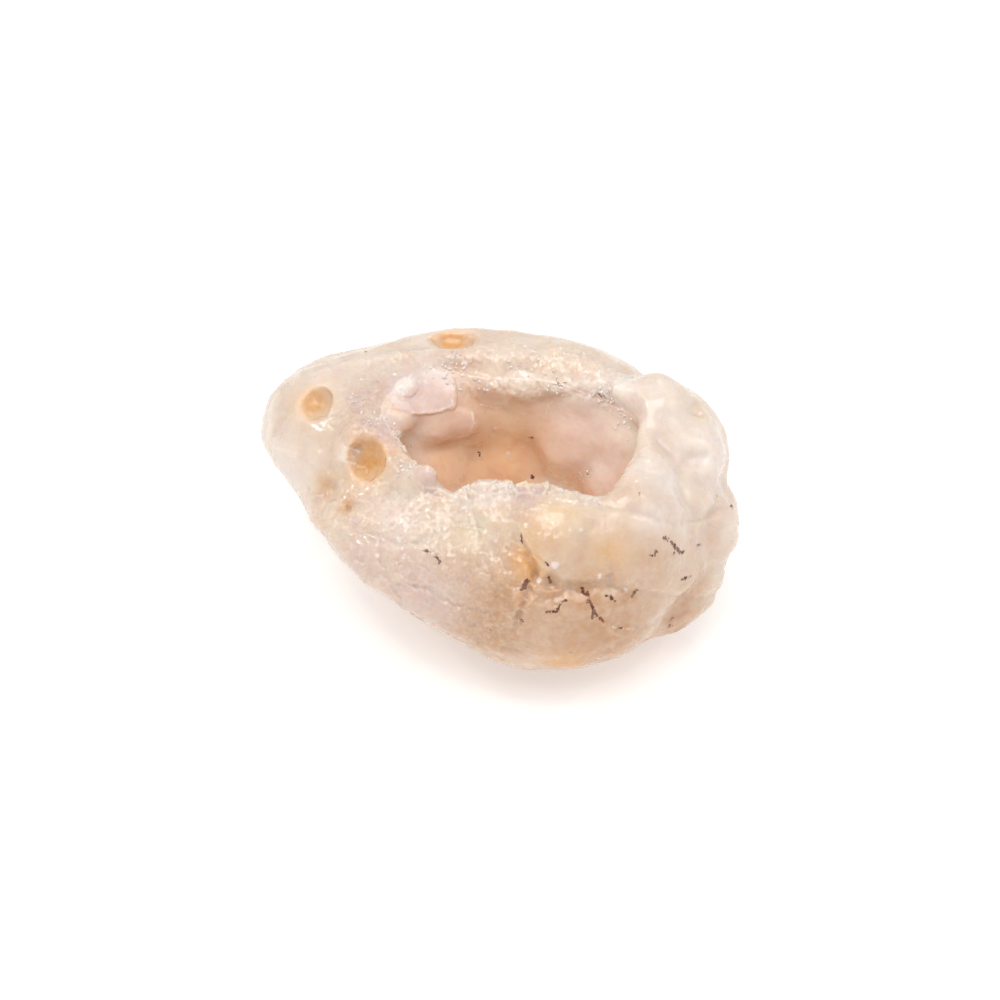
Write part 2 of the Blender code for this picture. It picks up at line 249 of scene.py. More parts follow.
# Dark branched flecks and specks, by the photograph's pixels: half width, path.
FLECKS = {
    "stem_head": (0.21, ((583, 592), (588, 594))),
    "stem_top": (0.11, ((580, 588), (584, 590))),
    "stem": (0.18, ((589, 600), (592, 606), (594, 613))),
    "stem_leg": (0.15, ((594, 613), (599, 617), (603, 621))),
    "stem_fork": (0.11, ((594, 613), (592, 619))),
    "stem_twig": (0.08, ((584, 604), (588, 602))),
    "seam_fleck": (0.16, ((607, 596), (611, 598))),
    "seam_twig": (0.10, ((611, 598), (615, 601))),
    "hook": (0.16, ((637, 590), (634, 593), (632, 598))),
    "fork_head": (0.18, ((664, 537), (668, 539))),
    "fork": (0.18, ((671, 541), (675, 547), (680, 552), (684, 552))),
    "fork_twig": (0.13, ((676, 548), (673, 555))),
    "pale_fleck": (0.11, ((649, 555), (652, 555))),
    "pale_twig": (0.13, ((655, 554), (657, 551))),
    "side_speck": (0.11, ((697, 546), (701, 544))),
    "bar": (0.16, ((681, 580), (686, 578))),
    "bar_tip": (0.10, ((686, 578), (691, 576))),
    "low_fleck": (0.16, ((671, 619), (675, 616))),
    "low_speck": (0.15, ((669, 625), (672, 627))),
    "ledge_speck": (0.10, ((617, 628), (621, 628))),
    "branch_left": (0.15, ((547, 611), (553, 611))),
    "branch_low": (0.11, ((553, 611), (557, 612))),
    "branch_up": (0.10, ((557, 611), (559, 606), (563, 602))),
    "branch_dot": (0.10, ((565, 601), (566, 600))),
    "seam_dark": (0.28, ((524, 587), (527, 581))),
    "seam_low": (0.13, ((521, 590), (523, 589))),
    "hole_shade": (0.18, ((549, 577), (551, 582))),
    "crack_top": (0.13, ((521, 534), (522, 542))),
    "spot_fleck": (0.08, ((546, 563), (549, 566))),
    "edge_fleck": (0.12, ((731, 504), (732, 511))),
    "lump_dot": (0.11, ((639, 493), (640, 494))),
    "far_dot": (0.07, ((716, 496), (717, 497))),
    "left_leaf": (0.07, ((424, 551), (430, 552))),
    "left_seed": (0.16, ((436, 557), (439, 562))),
    "left_dot": (0.08, ((399, 562), (400, 563))),
    "top_dot": (0.08, ((365, 352), (366, 352))),
    "low_dot": (0.07, ((491, 630), (492, 630))),
    "bottom_dot": (0.07, ((570, 652), (571, 652))),
    "front_scrape": (0.07, ((518, 620), (524, 621))),
    "wall_speck": (0.12, ((530, 438), (533, 438))),
    "wall_seed": (0.10, ((479, 453), (480, 455))),
    "shelf_speck": (0.08, ((440, 440), (441, 441))),
    "floor_speck": (0.14, ((532, 476), (533, 479))),
    "floor_dot": (0.06, ((575, 476), (576, 477))),
    "back_speck": (0.09, ((557, 380), (559, 384))),
    "back_speck_low": (0.10, ((561, 386), (562, 388))),
    "right_speck": (0.11, ((599, 393), (601, 397))),
    "right_speck_low": (0.11, ((604, 396), (606, 399))),
    "boss_dot": (0.06, ((587, 473), (588, 474))),
}

# Stains and clouds, by the photograph's pixels: kind, pixel, reach, strength. In the hollow and low at
# the front some of them are painted light and painted shade.
STAINS = {
    "tip_pit": ("warm", (314, 404), 2.2, 0.8),
    "deep_pit": ("warm", (373, 461), 3.2, 1.0),
    "narrow_pit": ("warm", (326, 485), 1.8, 0.35),
    "small_pit": ("warm", (347, 507), 1.3, 0.35),
    "back_pit": ("warm", (452, 345), 2.1, 1.0),
    "side_recess": ("warm", (692, 462), 2.0, 0.35),
    "right_pit": ("warm", (702, 418), 1.6, 0.35),
    "back_wall": ("warm", (505, 455), 6.5, 0.42),
    "left_wall": ("warm", (440, 460), 4.5, 0.32),
    "knob_left": ("warm", (528, 560), 2.4, 0.9),
    "knob_right": ("warm", (610, 553), 2.6, 0.48),
    "foot": ("warm", (563, 661), 2.8, 0.6),
    "shelf": ("pink", (425, 395), 3.6, 0.8),
    "shelf_low": ("pink", (445, 425), 3.0, 0.4),
    "shelf_low_tan": ("tan", (435, 428), 3.8, 0.8),
    "pink_lump": ("pink", (430, 475), 1.6, 1.0),
    "boss": ("pink", (590, 430), 5.0, 0.6),
    "boss_foot": ("pink", (600, 470), 4.0, 0.5),
    "right_lump": ("pink", (672, 505), 2.6, 0.3),
    "knob_side": ("milk", (655, 515), 3.0, 0.7),
    "crest": ("milk", (480, 495), 3.6, 0.25),
    "crest_right": ("milk", (560, 493), 3.4, 0.1),
    "right_lumps": ("milk", (664, 474), 5.5, 0.75),
    "far_lumps": ("milk", (708, 450), 5.6, 0.95),
    "upper_right": ("milk", (670, 400), 5.0, 0.7),
    "top_left": ("milk", (380, 362), 4.5, 0.35),
    "front_left": ("milk", (400, 520), 3.5, 0.5),
    "tip": ("milk", (286, 458), 4.6, 0.6),
    "tip_upper": ("milk", (268, 425), 3.2, 0.55),
    "ridge": ("milk", (345, 458), 1.6, 0.7),
    "back_rim": ("milk", (440, 334), 5.4, 0.6),
    "rim_back": ("milk", (432, 358), 3.4, 0.5),
    "narrow_pit_tan": ("tan", (326, 485), 1.6, 0.4),
    "small_pit_tan": ("tan", (348, 508), 1.4, 0.7),
    "shelf_tan": ("tan", (446, 392), 4.8, 1.0),
    # Painted shade darkens the boss's lit top, and painted light lightens the shade under the rim above it.
    "boss_top_painted_shade": ("tan", (566, 428), 4.0, 0.7),
    "boss_crown_painted_light": ("milk", (596, 394), 3.2, 0.9),
    "boss_pink": ("pink", (566, 424), 3.0, 0.5),
    # Painted light: these two lighten the shade under the low shelf.
    "left_pocket": ("milk", (414, 436), 2.8, 0.75),
    "left_foot": ("milk", (414, 454), 2.4, 0.6),
    # Painted shade: darkens the lit lower left wall.
    "left_wall_painted_shade": ("tan", (480, 484), 3.6, 0.6),
    "right_edge": ("milk", (736, 520), 3.5, 0.45),
    "right_edge_low": ("milk", (742, 574), 2.6, 0.45),
    "hole": ("tan", (550, 578), 1.2, 1.0),
    # Painted light: these four lighten the shade round the boss and on the steep right wall.
    "boss_right_painted_light": ("milk", (624, 430), 3.8, 0.45),
    "boss_low_painted_light": ("milk", (598, 476), 3.2, 0.45),
    "boss_left_painted_light": ("milk", (560, 484), 3.0, 0.5),
    "right_wall_painted_light": ("milk", (624, 455), 3.5, 0.4),
    "rim_upper": ("pink", (372, 395), 3.2, 0.6),
    "rim_upper_tan": ("tan", (384, 396), 3.2, 0.9),
    "scallop_tan": ("tan", (476, 394), 3.0, 0.8),
    "knob_left_warm": ("warm", (536, 538), 3.8, 0.42),
    "crest_right_warm": ("warm", (560, 508), 3.4, 0.2),
    # Painted light: lightens the shaded upper right corner of the hollow.
    "corner": ("milk", (622, 396), 4.0, 0.95),
    "corner_low": ("tan", (628, 487), 2.4, 0.4),
    # Painted light: lightens the shade under the back rim and in the fold beside the boss.
    "under_rim_painted_light": ("milk", (570, 396), 3.6, 0.6),
    "wall_fold_painted_light": ("milk", (562, 462), 3.0, 0.4),
    "seam_tan": ("tan", (533, 582), 2.4, 0.8),
    # These three are partly the stone's own tan and partly painted shade near the floor.
    "lobe_tan": ("tan", (668, 634), 6.5, 0.95),
    "bottom_tan": ("tan", (495, 638), 6.0, 0.9),
    "low_front": ("tan", (600, 645), 9.0, 1.0),
    "mid_front": ("tan", (505, 610), 6.0, 0.9),
    "right_front": ("tan", (680, 600), 5.5, 0.8),
    "bulge_front": ("tan", (660, 560), 4.0, 0.6),
    "recess_left": ("tan", (555, 592), 2.0, 1.0),
    "recess": ("tan", (585, 594), 3.4, 1.0),
    "recess_right": ("tan", (628, 596), 2.2, 0.9),
    "rim_left": ("pink", (385, 428), 3.4, 0.8),
    "rim_left_tan": ("tan", (376, 425), 3.0, 0.25),
    "flat_left": ("tan", (338, 430), 4.5, 0.15),
    "flat_top": ("milk", (318, 374), 4.6, 0.45),
    "left_low": ("pink", (420, 600), 5.0, 0.6),
    "left_edge": ("pink", (365, 560), 4.0, 0.5),
    "knob_crown": ("straw", (560, 512), 2.4, 0.7),
    "tip_straw": ("straw", (303, 384), 1.8, 0.35),
    "back_straw": ("straw", (560, 350), 4.0, 0.4),
    "right_straw": ("straw", (690, 385), 4.0, 0.5),
    "left_straw": ("straw", (470, 530), 3.0, 0.6),
}
STAIN_KINDS = ("tan", "straw", "warm", "pink", "milk")

# The stone darkens towards the ground, between two heights: partly its own tan, partly painted shade near
# the floor.
LOW_TAN_AND_SHADE = 0.9
LOW_TAN_AND_SHADE_LEVELS = (3.0, 12.0)

# Rounded bosses that stand out of the lining, by the photograph's pixels: pixel, radius, thickness,
# rise.
BOSSES = {
    "pink_lump": ((430, 474), 1.5, 1.5, 1.0),
    "scallop_left": ((495, 390), 2.2, 1.6, 0.4),
    "scallop_middle": ((521, 395), 2.4, 1.6, 0.5),
    "scallop_right": ((547, 390), 2.2, 1.6, 0.4),
    "back_left": ((486, 412), 5.0, 3.4, 2.0),
    "back_middle": ((512, 412), 5.6, 3.4, 2.3),
    "back_right": ((540, 412), 5.0, 3.4, 2.0),
    "back_end": ((568, 406), 4.4, 3.2, 1.2),
    "back_low": ((512, 446), 6.0, 3.4, 1.3),
    "boss": ((592, 440), 7.2, 3.4, -0.3),
    "boss_foot": ((604, 468), 5.4, 3.6, 1.4),
    "boss_side": ((630, 430), 2.8, 2.8, 0.9),
    "left_wall": ((440, 456), 6.0, 3.6, 2.2),
    "left_pocket": ((412, 442), 3.2, 2.8, 2.2),
    "left_corner": ((398, 402), 1.5, 1.5, 0.15),
    "shelf_fill": ((446, 428), 2.6, 2.2, 0.5),
    "shelf_middle": ((428, 424), 2.6, 2.4, 0.6),
    "shelf_left": ((409, 421), 2.4, 2.4, 0.5),
    "corner_lump": ((614, 398), 2.2, 1.6, 0.5),
}

# Icy lumps on the front crest, by the photograph's pixels: pixel, radius, rise.
CREST_LUMPS = {
    "left_end": ((442, 495), 1.1, 0.2),
    "white_left": ((467, 494), 1.3, 0.35),
    "white": ((484, 491), 1.6, 0.45),
    "white_right": ((501, 492), 1.4, 0.4),
    "pink": ((522, 493), 1.4, 0.35),
    "pink_right": ((537, 492), 1.2, 0.3),
    "cream": ((554, 494), 1.3, 0.35),
    "cream_right": ((567, 497), 1.1, 0.3),
    "tooth": ((583, 501), 1.0, 0.35),
    "tooth_right": ((596, 506), 0.9, 0.2),
}

# Sugary bands round the rim: bearing and spread in degrees, how far they reach in and out from the
# crest, share.
DRUSE_BANDS = {
    "front": (-95.0, 42.0, 1.2, 1.6, 1.0),
    "front_left": (-150.0, 18.0, 1.5, 2.0, 0.6),
    "left": (178.0, 25.0, 3.0, 5.0, 1.0),
    "left_back": (140.0, 16.0, 1.0, 3.5, 0.7),
    "back": (95.0, 30.0, 5.5, 1.5, 1.0),
    "right_back": (50.0, 22.0, 4.5, 2.5, 0.9),
    "right": (0.0, 30.0, 1.5, 0.8, 0.4),
}

# How softly the bands end, how full their middle is, and how their edges wander.
DRUSE_FADE = 0.8
DRUSE_FULL = 1.6
SUGAR_WAVES = (1.8, 0.9, 7.0)

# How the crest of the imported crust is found: bearings, window in radians, band in height, smoothings.
CREST_BEARINGS = 72
CREST_WINDOW = 0.09
CREST_BAND = 0.9
CREST_SMOOTHINGS = 2

# How far from the crest distances to it are told, and the bearing of the stone's front in degrees.
CREST_FAR = 12.0
FRONT_BEARING = -90.0

# Clusters of crystals, by the photograph's pixels: pixel, reach, thickness, width of a common
# crystal.
CLUSTERS = {
    "left_upper": ((352, 402), 1.2, 0.5, 0.42),
    "left_middle": ((372, 422), 1.5, 0.6, 0.42),
    "left_rim": ((397, 434), 1.1, 1.0, 0.42),
    "left_rim_low": ((405, 450), 0.9, 1.0, 0.42),
    "left_foot": ((404, 466), 1.6, 0.6, 0.42),
    "shelf_top": ((452, 368), 1.6, 1.0, 0.46),
    "shelf_back": ((425, 370), 1.2, 0.3, 0.42),
    "shelf_end": ((466, 382), 1.2, 0.8, 0.46),
    "back_left": ((488, 388), 1.2, 0.8, 0.42),
    "back_top": ((522, 362), 1.5, 0.4, 0.4),
    "back": ((556, 384), 1.2, 0.9, 0.42),
    "back_right": ((602, 395), 1.4, 1.0, 0.46),
    "right_upper": ((622, 418), 1.2, 0.7, 0.42),
    "right": ((634, 432), 1.2, 0.4, 0.42),
    "floor_right": ((578, 476), 0.7, 0.9, 0.35),
    "floor_far": ((588, 474), 0.6, 0.9, 0.35),
    "crest": ((500, 486), 1.3, 0.35, 0.46),
    "crest_left": ((466, 490), 1.0, 0.3, 0.46),
    "crest_right": ((572, 493), 1.0, 0.35, 0.46),
    "crest_end": ((598, 500), 0.9, 0.35, 0.46),
}
COMMON_WIDTH = 0.6
THINNEST_DRUSE = 0.08

# Sugary places away from the rim, by the photograph's pixels: pixel, reach, share.
SUGAR_SPOTS = {
    "recess_left": ((553, 592), 2.2, 0.3),
    "recess": ((592, 590), 2.6, 0.3),
    "recess_right": ((628, 593), 2.2, 0.8),
    "front_middle": ((480, 545), 5.0, 0.5),
}

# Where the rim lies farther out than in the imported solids: bearing in degrees, how far out, how far
# down.
RIM_SHIFTS = (
    (0.0, 0.1, 0.0),
    (130.0, 0.0, 0.0),
    (150.0, 0.8, 0.0),
    (165.0, 1.9, 0.0),
    (180.0, 2.1, 0.0),
    (195.0, 1.6, 0.0),
    (210.0, 1.1, 0.0),
    (222.0, 0.5, 0.1),
    (235.0, 0.0, 0.0),
    (282.0, 0.0, 0.0),
    (292.0, 0.4, 0.3),
    (300.0, 1.2, 0.8),
    (310.0, 2.2, 1.2),
    (320.0, 2.9, 1.1),
    (330.0, 2.0, 1.0),
    (340.0, 0.8, 0.7),
    (352.0, 0.2, 0.2),
    (360.0, 0.1, 0.0),
)
RIM_SHIFT_FADE = 6.0
RIM_SHIFT_INNER = 0.25
RIM_SHIFT_LEVELS = (9.0, 20.0)

# What closes the furrow between the crust and the nodule before they are fused.
CREST_FILL = 0.6
TUBE_RADIUS = 1.3
TUBE_SINK = 0.35
TUBE_OUT = 0.7
TUBE_SIDES = 10

# Where the skin is worn soft along the crest, and where it covers the lining, in distance from the
# crest.
RIM_REACH = 2.6
RIM_ROUNDS = 60
RIM_SOFT_INSIDE = (0.5, 2.0)
RIM_CRISP = (-95.0, 50.0, 0.85)
CREST_COVER = (-3.2, -2.8)
CREST_LIP = 0.04
SKIN_SINK = 1.2
SHELF_BEARING = 158.0
SHELF_SPREAD = 30.0
SHELF_COVER = 2.2
BORDER_REACH = 1.0
CREST_DIP = 0.35
CREST_SINK = (-4.6, -3.8)
CREST_FOLLOW = (-6.0, -4.0)
# Where the colour is lifted as painted light inside the hollow.
INSIDE_FADE = (-3.2, 0.8)

# The jagged front of the crest: height of its teeth, reach across it, spread along it in degrees, size
# and place of the chips.
CREST_JAG = 1.0
CREST_JAG_REACH = 1.1
CREST_JAG_SPREAD = 38.0
CREST_JAG_CHIPS = (1.5, 3.0)

# Where the front wall leans out under the crest: how well it faces the hollow, how deep, how far out,
# and how far round from the front in degrees.
UNDERCUT_FACING = 0.4
UNDERCUT_DEPTH = 0.8
UNDERCUT_REACH = 3.0
UNDERCUT_SPREAD = 62.0

# The white seed on the lilac shelf, by the photograph's pixels.
WHITE_SEED = ((398, 380), (405, 377), (411, 379), (413, 385), (411, 391), (405, 394), (398, 393), (394, 387))

# Steps in the hollow's wall, by the photograph's pixels: how far they stand out, half width of the
# edge, outline.
SHELVES = {
    "white_rim": (0.28, 0.5, (
        (450, 330), (454, 366), (464, 384), (474, 396), (484, 405), (506, 407), (512, 396), (528, 402),
        (546, 397), (562, 392), (590, 390), (604, 398), (622, 408), (640, 392), (610, 346), (520, 326),
    )),
    "low_shelf": (0.3, 0.3, (
        (392, 414), (420, 410), (452, 406), (472, 412), (477, 424),
        (470, 436), (446, 442), (424, 436), (404, 430),
    )),
    "shelf": (0.55, 0.22, (
        (386, 376), (404, 370), (440, 368), (452, 376), (454, 392),
        (455, 405), (438, 411), (412, 413), (394, 408), (386, 392),
    )),
    "seed": (0.35, 0.22, WHITE_SEED),
}
SHELF_REACH = 9.0
SHELF_WAVES = (1.2, 0.2, 9.0)

# Clouds with a clearer outline, by the photograph's pixels: kind, strength, half width of the edge,
# outline.
PATCHES = {
    "white_rim": ("milk", 0.28, 0.5, SHELVES["white_rim"][2]),
    "shelf": ("pink", 0.88, 0.4, SHELVES["shelf"][2]),
    "low_shelf": ("pink", 0.35, 0.4, SHELVES["low_shelf"][2]),
    "crest": ("milk", 0.55, 0.4, (
        (452, 502), (460, 487), (480, 481), (502, 482), (513, 486), (513, 500), (498, 508), (470, 510),
    )),
    "crest_pink": ("pink", 0.6, 0.4, (
        (513, 486), (544, 486), (546, 496), (530, 504), (513, 502),
    )),
    "crest_right": ("milk", 0.3, 0.4, (
        (545, 488), (573, 491), (600, 492), (600, 504), (575, 506), (546, 502),
    )),
}
PATCH_WAVES = (1.0, 0.4, 5.0)

# Pale lines, by the photograph's pixels: white fibres in the deep pit, and painted highlights along
# broken edges, ledges and the crest: half width, path.
PALE_LINES_AND_HIGHLIGHTS = {
    "pit_fibre_top": (0.10, ((345, 447), (352, 449), (359, 452))),
    "pit_fibre": (0.10, ((341, 456), (348, 457), (354, 457))),
    "pit_fibre_low": (0.10, ((340, 461), (348, 462), (355, 464))),
    "shelf_edge": (0.03, ((412, 412), (424, 412), (437, 410))),
    "shelf_corner": (0.10, ((437, 410), (446, 408), (453, 404), (452, 399))),
    "shelf_side": (0.02, ((451, 378), (453, 390), (453, 398))),
    "low_shelf_edge": (0.05, ((444, 441), (456, 439), (466, 434))),
    "low_shelf_arc": (0.07, ((468, 432), (474, 424), (472, 412))),
    "scallop_edge": (0.06, ((480, 404), (495, 408), (508, 406))),
    "scallop_left": (0.06, ((488, 392), (491, 384), (497, 382))),
    "boss_edge": (0.02, ((545, 420), (548, 405), (560, 396))),
    "wall_edge": (0.05, ((612, 412), (624, 420), (630, 434))),
    "crest_edge": (0.16, ((453, 500), (462, 488), (480, 483), (500, 484), (512, 486))),
    "crest_spark": (0.14, ((508, 492), (511, 486))),
    "crest_right_edge": (0.12, ((545, 486), (560, 489), (572, 492), (574, 486))),
    "crest_left_edge": (0.12, ((424, 487), (440, 489), (452, 496))),
    "ledge_line": (0.03, ((612, 627), (622, 629), (634, 629))),
    "knob_top": (0.03, ((521, 512), (532, 509), (545, 509))),
}

# Small white lumps, and sparks that are painted highlights, by the photograph's pixels: pixel, radius.
WHITE_SPOTS_AND_GLINTS = {
    "knob_spot": ((555, 565), 0.48),
    "recess_spot": ((539, 580), 0.32),
    "crest_spot": ((473, 522), 0.35),
    "knob_spark_left": ((570, 529), 0.25),
    "knob_spark_right": ((581, 530), 0.25),
    "recess_spark": ((600, 576), 0.28),
    "side_spark": ((626, 589), 0.2),
    "low_spark": ((633, 647), 0.25),
    "wall_spark": ((495, 428), 0.2),
    "rim_spark": ((465, 363), 0.35),
    "floor_spark": ((508, 453), 0.2),
    "pit_spark": ((389, 459), 0.25),
}


# The two chalcedonies: speckle, height of the relief, tilt of the facets, roughness, and how deep the
# light goes in millimetres.
SKIN_LOOK = (0.25, 0.05, 0.45, 0.26, 1.4)
LINING_LOOK = (0.35, 0.06, 0.5, 0.30, 0.7)
TINTS = ("Cream", "Peach", "Tan", "Straw", "Warm", "Pink", "Milk", "Fleck")
SPECKLE_SIZE = 0.32
FACET_SIZE = 0.42
FLECK_DULLNESS = 0.6
STONE_IOR = 1.54
QUARTZ_IOR = 1.55
STONE_GLOW = (1.0, 0.75, 0.55)

# The small crystals: sides, half width at the tip and the foot, height, how deep the foot is sunk, most
# crystals on a square metre, lean either way in radians, and the smallest and largest scale.
CRYSTAL_SIDES = 5
CRYSTAL_TIP = 0.22
CRYSTAL_FOOT = 0.5
CRYSTAL_HEIGHT = 0.9
CRYSTAL_SUNK = 0.4
CRYSTAL_DENSITY = 6.0e6
CRYSTAL_LEAN = ((-0.8, -0.8, 0.0), (0.8, 0.8, 6.3))
CRYSTAL_SCALE = ((0.6, 0.6, 0.6), (1.5, 1.3, 1.2))
BARE_DRUSE = 0.01


def colour_property(name, description, colour):
    """A colour setting with its default."""
    return FloatVectorProperty(
        name=name, description=description, subtype="COLOR", size=3, min=0.0, max=1.0, default=colour
    )


class GeodeStoneSettings(bpy.types.PropertyGroup):
    """Sizes and colours of the chalcedony."""

    voxel: FloatProperty(
        name="Voxel", description="Width of the skin's cells", default=0.40 * MM, unit="LENGTH"
    )
    lining_voxel: FloatProperty(
        name="Lining voxel", description="Width of the lining's cells", default=0.27 * MM, unit="LENGTH"
    )
    cream: colour_property("Cream", "Main colour of the skin", (0.75, 0.62, 0.49))
    peach: colour_property("Peach", "Clouds in the skin", (0.71, 0.535, 0.405))
    straw: colour_property("Straw", "Pale yellow places", (0.76, 0.64, 0.45))
    warm: colour_property("Iron stain", "Orange of the pits and the hollow's back wall", (0.75, 0.41, 0.145))
    pink: colour_property("Lilac", "Pink chalcedony of the shelf and the bosses", (0.66, 0.505, 0.47))
    milk: colour_property("Milk", "White crystalline parts", (0.84, 0.75, 0.69))
    quartz: colour_property("Quartz", "Clearest crystals", (0.88, 0.79, 0.73))
    tan: colour_property("Tan", "Darker lower front", (0.57, 0.335, 0.188))
    fleck: colour_property("Flecks", "Dark branched flecks", (0.12, 0.02, 0.008))


class GeodeDruseSettings(bpy.types.PropertyGroup):
    """Size and number of the crystals."""

    width: FloatProperty(
        name="Width", description="Width of crystals where the bands say 1", default=1.0 * MM, unit="LENGTH"
    )
    spacing: FloatProperty(
        name="Spacing", description="Smallest distance between crystals", default=0.34 * MM, unit="LENGTH"
    )
    seed: IntProperty(name="Seed", description="Chance placing of the crystals", default=SEED)


class GeodeStageSettings(bpy.types.PropertyGroup):
    """Light and floor."""

    floor: colour_property("Floor", "Pale floor", (0.78, 0.78, 0.78))
    sky: FloatProperty(name="Sky", description="Strength of the even light", default=0.47)
    key: FloatProperty(name="Key", description="Power of the main soft light", default=1.04)
    fill: FloatProperty(name="Fill", description="Power of each side light", default=0.14)
    glow: FloatProperty(name="Glow", description="Light of the floor itself, a lit table", default=0.40)
    glint: FloatProperty(name="Glint", description="Power of each small light", default=0.07)


def camera_axes():
    """The camera's place, and its axes to the right, up and into the picture."""
    into = Vector((0.0, math.cos(CAMERA_TILT), -math.sin(CAMERA_TILT)))
    up = Vector((0.0, math.sin(CAMERA_TILT), math.cos(CAMERA_TILT)))
    return CAMERA_AIM - into * CAMERA_DISTANCE, Vector((1.0, 0.0, 0.0)), up, into


def towards_camera():
    """The direction from the stone to the camera."""
    return -np.array(camera_axes()[3])


def tree_of(mesh, points=None):
    """The mesh in millimetres as a tree for finding places on it, or its faces with other corners."""
    points = corners_of(mesh) if points is None else points
    return BVHTree.FromPolygons(points.tolist(), [list(face.vertices) for face in mesh.polygons])


def shown_at(pixel, surface):
    """The place on a surface that a pixel of the photograph shows."""
    start, right, up, into = camera_axes()
    scale = SENSOR / LENS / PHOTO_SIDE
    across = (pixel[0] - PHOTO_SIDE / 2.0) * scale
    down = (pixel[1] - PHOTO_SIDE / 2.0) * scale
    direction = (into + right * across - up * down).normalized()
    place = surface.ray_cast(start, direction)[0]
    if place is None:
        place = surface.find_nearest(start + direction * CAMERA_DISTANCE)[0]
    return np.array(place)


def pixels_of(points):
    """The pixel of the photograph that each point falls on."""
    start, right, up, into = (np.array(axis) for axis in camera_axes())
    away = points - start
    scale = PHOTO_SIDE * LENS / SENSOR / (away @ into)
    return np.stack((away @ right * scale, -(away @ up) * scale), axis=1) + PHOTO_SIDE / 2.0


def depth_in_outline(points, outline, surface, reach):
    """Distance in millimetres from each point into an outline of pixels, below 0 outside it."""
    found = np.full(len(points), -FAR)
    outline = np.array(outline, float)
    middle = shown_at(outline.mean(0), surface)
    close = np.linalg.norm(points - middle, axis=1) < reach
    pixels = pixels_of(points[close])
    following = np.roll(outline, -1, 0)
    best = np.full(len(pixels), FAR * PHOTO_SIDE)
    inside = np.zeros(len(pixels), bool)
    for a, b in zip(outline, following):
        span = b - a
        share = np.clip((pixels - a) @ span / (span @ span), 0.0, 1.0)
        best = np.minimum(best, np.linalg.norm(pixels - a - share[:, None] * span, axis=1))
        crosses = (a[1] > pixels[:, 1]) != (b[1] > pixels[:, 1])
        level = (pixels[:, 1] - a[1]) / (span[1] if span[1] else 1.0)
        inside ^= crosses & (pixels[:, 0] < a[0] + level * span[0])
    found[close] = np.where(inside, best, -best) * CAMERA_DISTANCE * SENSOR / LENS / PHOTO_SIDE
    return found


def along(pixels, surface, step=3.0):
    """Places on a surface along a path of the photograph's pixels."""
    places = [shown_at(pixels[0], surface)]
    for a, b in zip(pixels, pixels[1:]):
        count = max(1, round(math.dist(a, b) / step))
        for i in range(1, count + 1):
            share = i / count
            pixel = (a[0] + (b[0] - a[0]) * share, a[1] + (b[1] - a[1]) * share)
            places.append(shown_at(pixel, surface))
    return np.array(places)


def distance_to_path(points, path, reach):
    """Distance from each point to a path, or FAR where it is beyond reach."""
    found = np.full(len(points), FAR)
    close = ((points > path.min(0) - reach) & (points < path.max(0) + reach)).all(1)
    chosen = points[close]
    best = np.full(len(chosen), FAR)
    for a, b in zip(path, path[1:]):
        span = b - a
        share = np.clip((chosen - a) @ span / max(span @ span, 1e-9), 0.0, 1.0)
        best = np.minimum(best, np.linalg.norm(chosen - a - share[:, None] * span, axis=1))
    found[close] = best
    return found


def distance_to_pixel(points, pixel, surface):
    """Distance from each point to the place on a surface that a pixel of the photograph shows."""
    return np.linalg.norm(points - shown_at(pixel, surface), axis=1)


def bell(distance, reach, power=2):
    """1 at distance 0 and about a third at the reach; a higher power falls later and faster."""
    return np.exp(-((distance / reach) ** power))


def turn_from(bearing, middle):
    """The turn in degrees from a bearing to each of the others, from -180 to 180."""
    return (bearing - middle + 180.0) % 360.0 - 180.0


def unit(vector):
    """The vector as a numpy array of length 1."""
    vector = np.asarray(vector, float)
    return vector / np.linalg.norm(vector)


def units(vectors):
    """Each row made length 1."""
    return vectors / np.maximum(np.linalg.norm(vectors, axis=1), 1e-9)[:, None]


def smooth_step(low, high, value):
    """0 below low, 1 above high, an even rise between."""
    share = np.clip((value - low) / (high - low), 0.0, 1.0)
    return share * share * (3.0 - 2.0 * share)


def noise_at(points, size, place=0.0):
    """Noise between about -1 and 1 with features of a size."""
    return np.array([noise.noise(Vector(p)) for p in points / size + place])


def waves_at(points, *waves):
    """Noise added up, each with its size, height and place."""
    return sum(height * noise_at(points, size, place) for size, height, place in waves)


def chips_at(points, size):
    """Heights of tilted flat chips, one for each cell of a size."""
    heights = np.empty(len(points))
    for i, p in enumerate(points / size):
        cell = noise.voronoi(Vector(p))[1][0]
        tilt = noise.cell_vector(cell * 7.0)
        heights[i] = (Vector(p) - cell).dot(tilt)
    return heights


def corners_of(mesh):
    """The mesh's corners in millimetres."""
    flat = np.empty(len(mesh.vertices) * 3, np.float32)
    mesh.vertices.foreach_get("co", flat)
    return flat.reshape(-1, 3).astype(float) / MM


def normals_of(mesh):
    """The outward direction at each corner."""
    flat = np.empty(len(mesh.vertices) * 3, np.float32)
    mesh.vertices.foreach_get("normal", flat)
    return flat.reshape(-1, 3).astype(float)


def set_corners(mesh, points):
    """Move the mesh's corners to points in millimetres."""
    mesh.vertices.foreach_set("co", (points * MM).astype(np.float32).ravel())
    mesh.update()


def set_field(mesh, name, values):
    """Keep a value at each corner under a name that materials can read."""
    field = mesh.attributes.get(name) or mesh.attributes.new(name, "FLOAT", "POINT")
    field.data.foreach_set("value", values.astype(np.float32))


def field_of(mesh, name):
    """The values kept under a name."""
    values = np.empty(len(mesh.vertices), np.float32)
    mesh.attributes[name].data.foreach_get("value", values)
    return values


def mesh_of(body, name):
    """The body as a new mesh. The body is freed."""
    mesh = bpy.data.meshes.new(name)
    body.to_mesh(mesh)
    body.free()
    return mesh


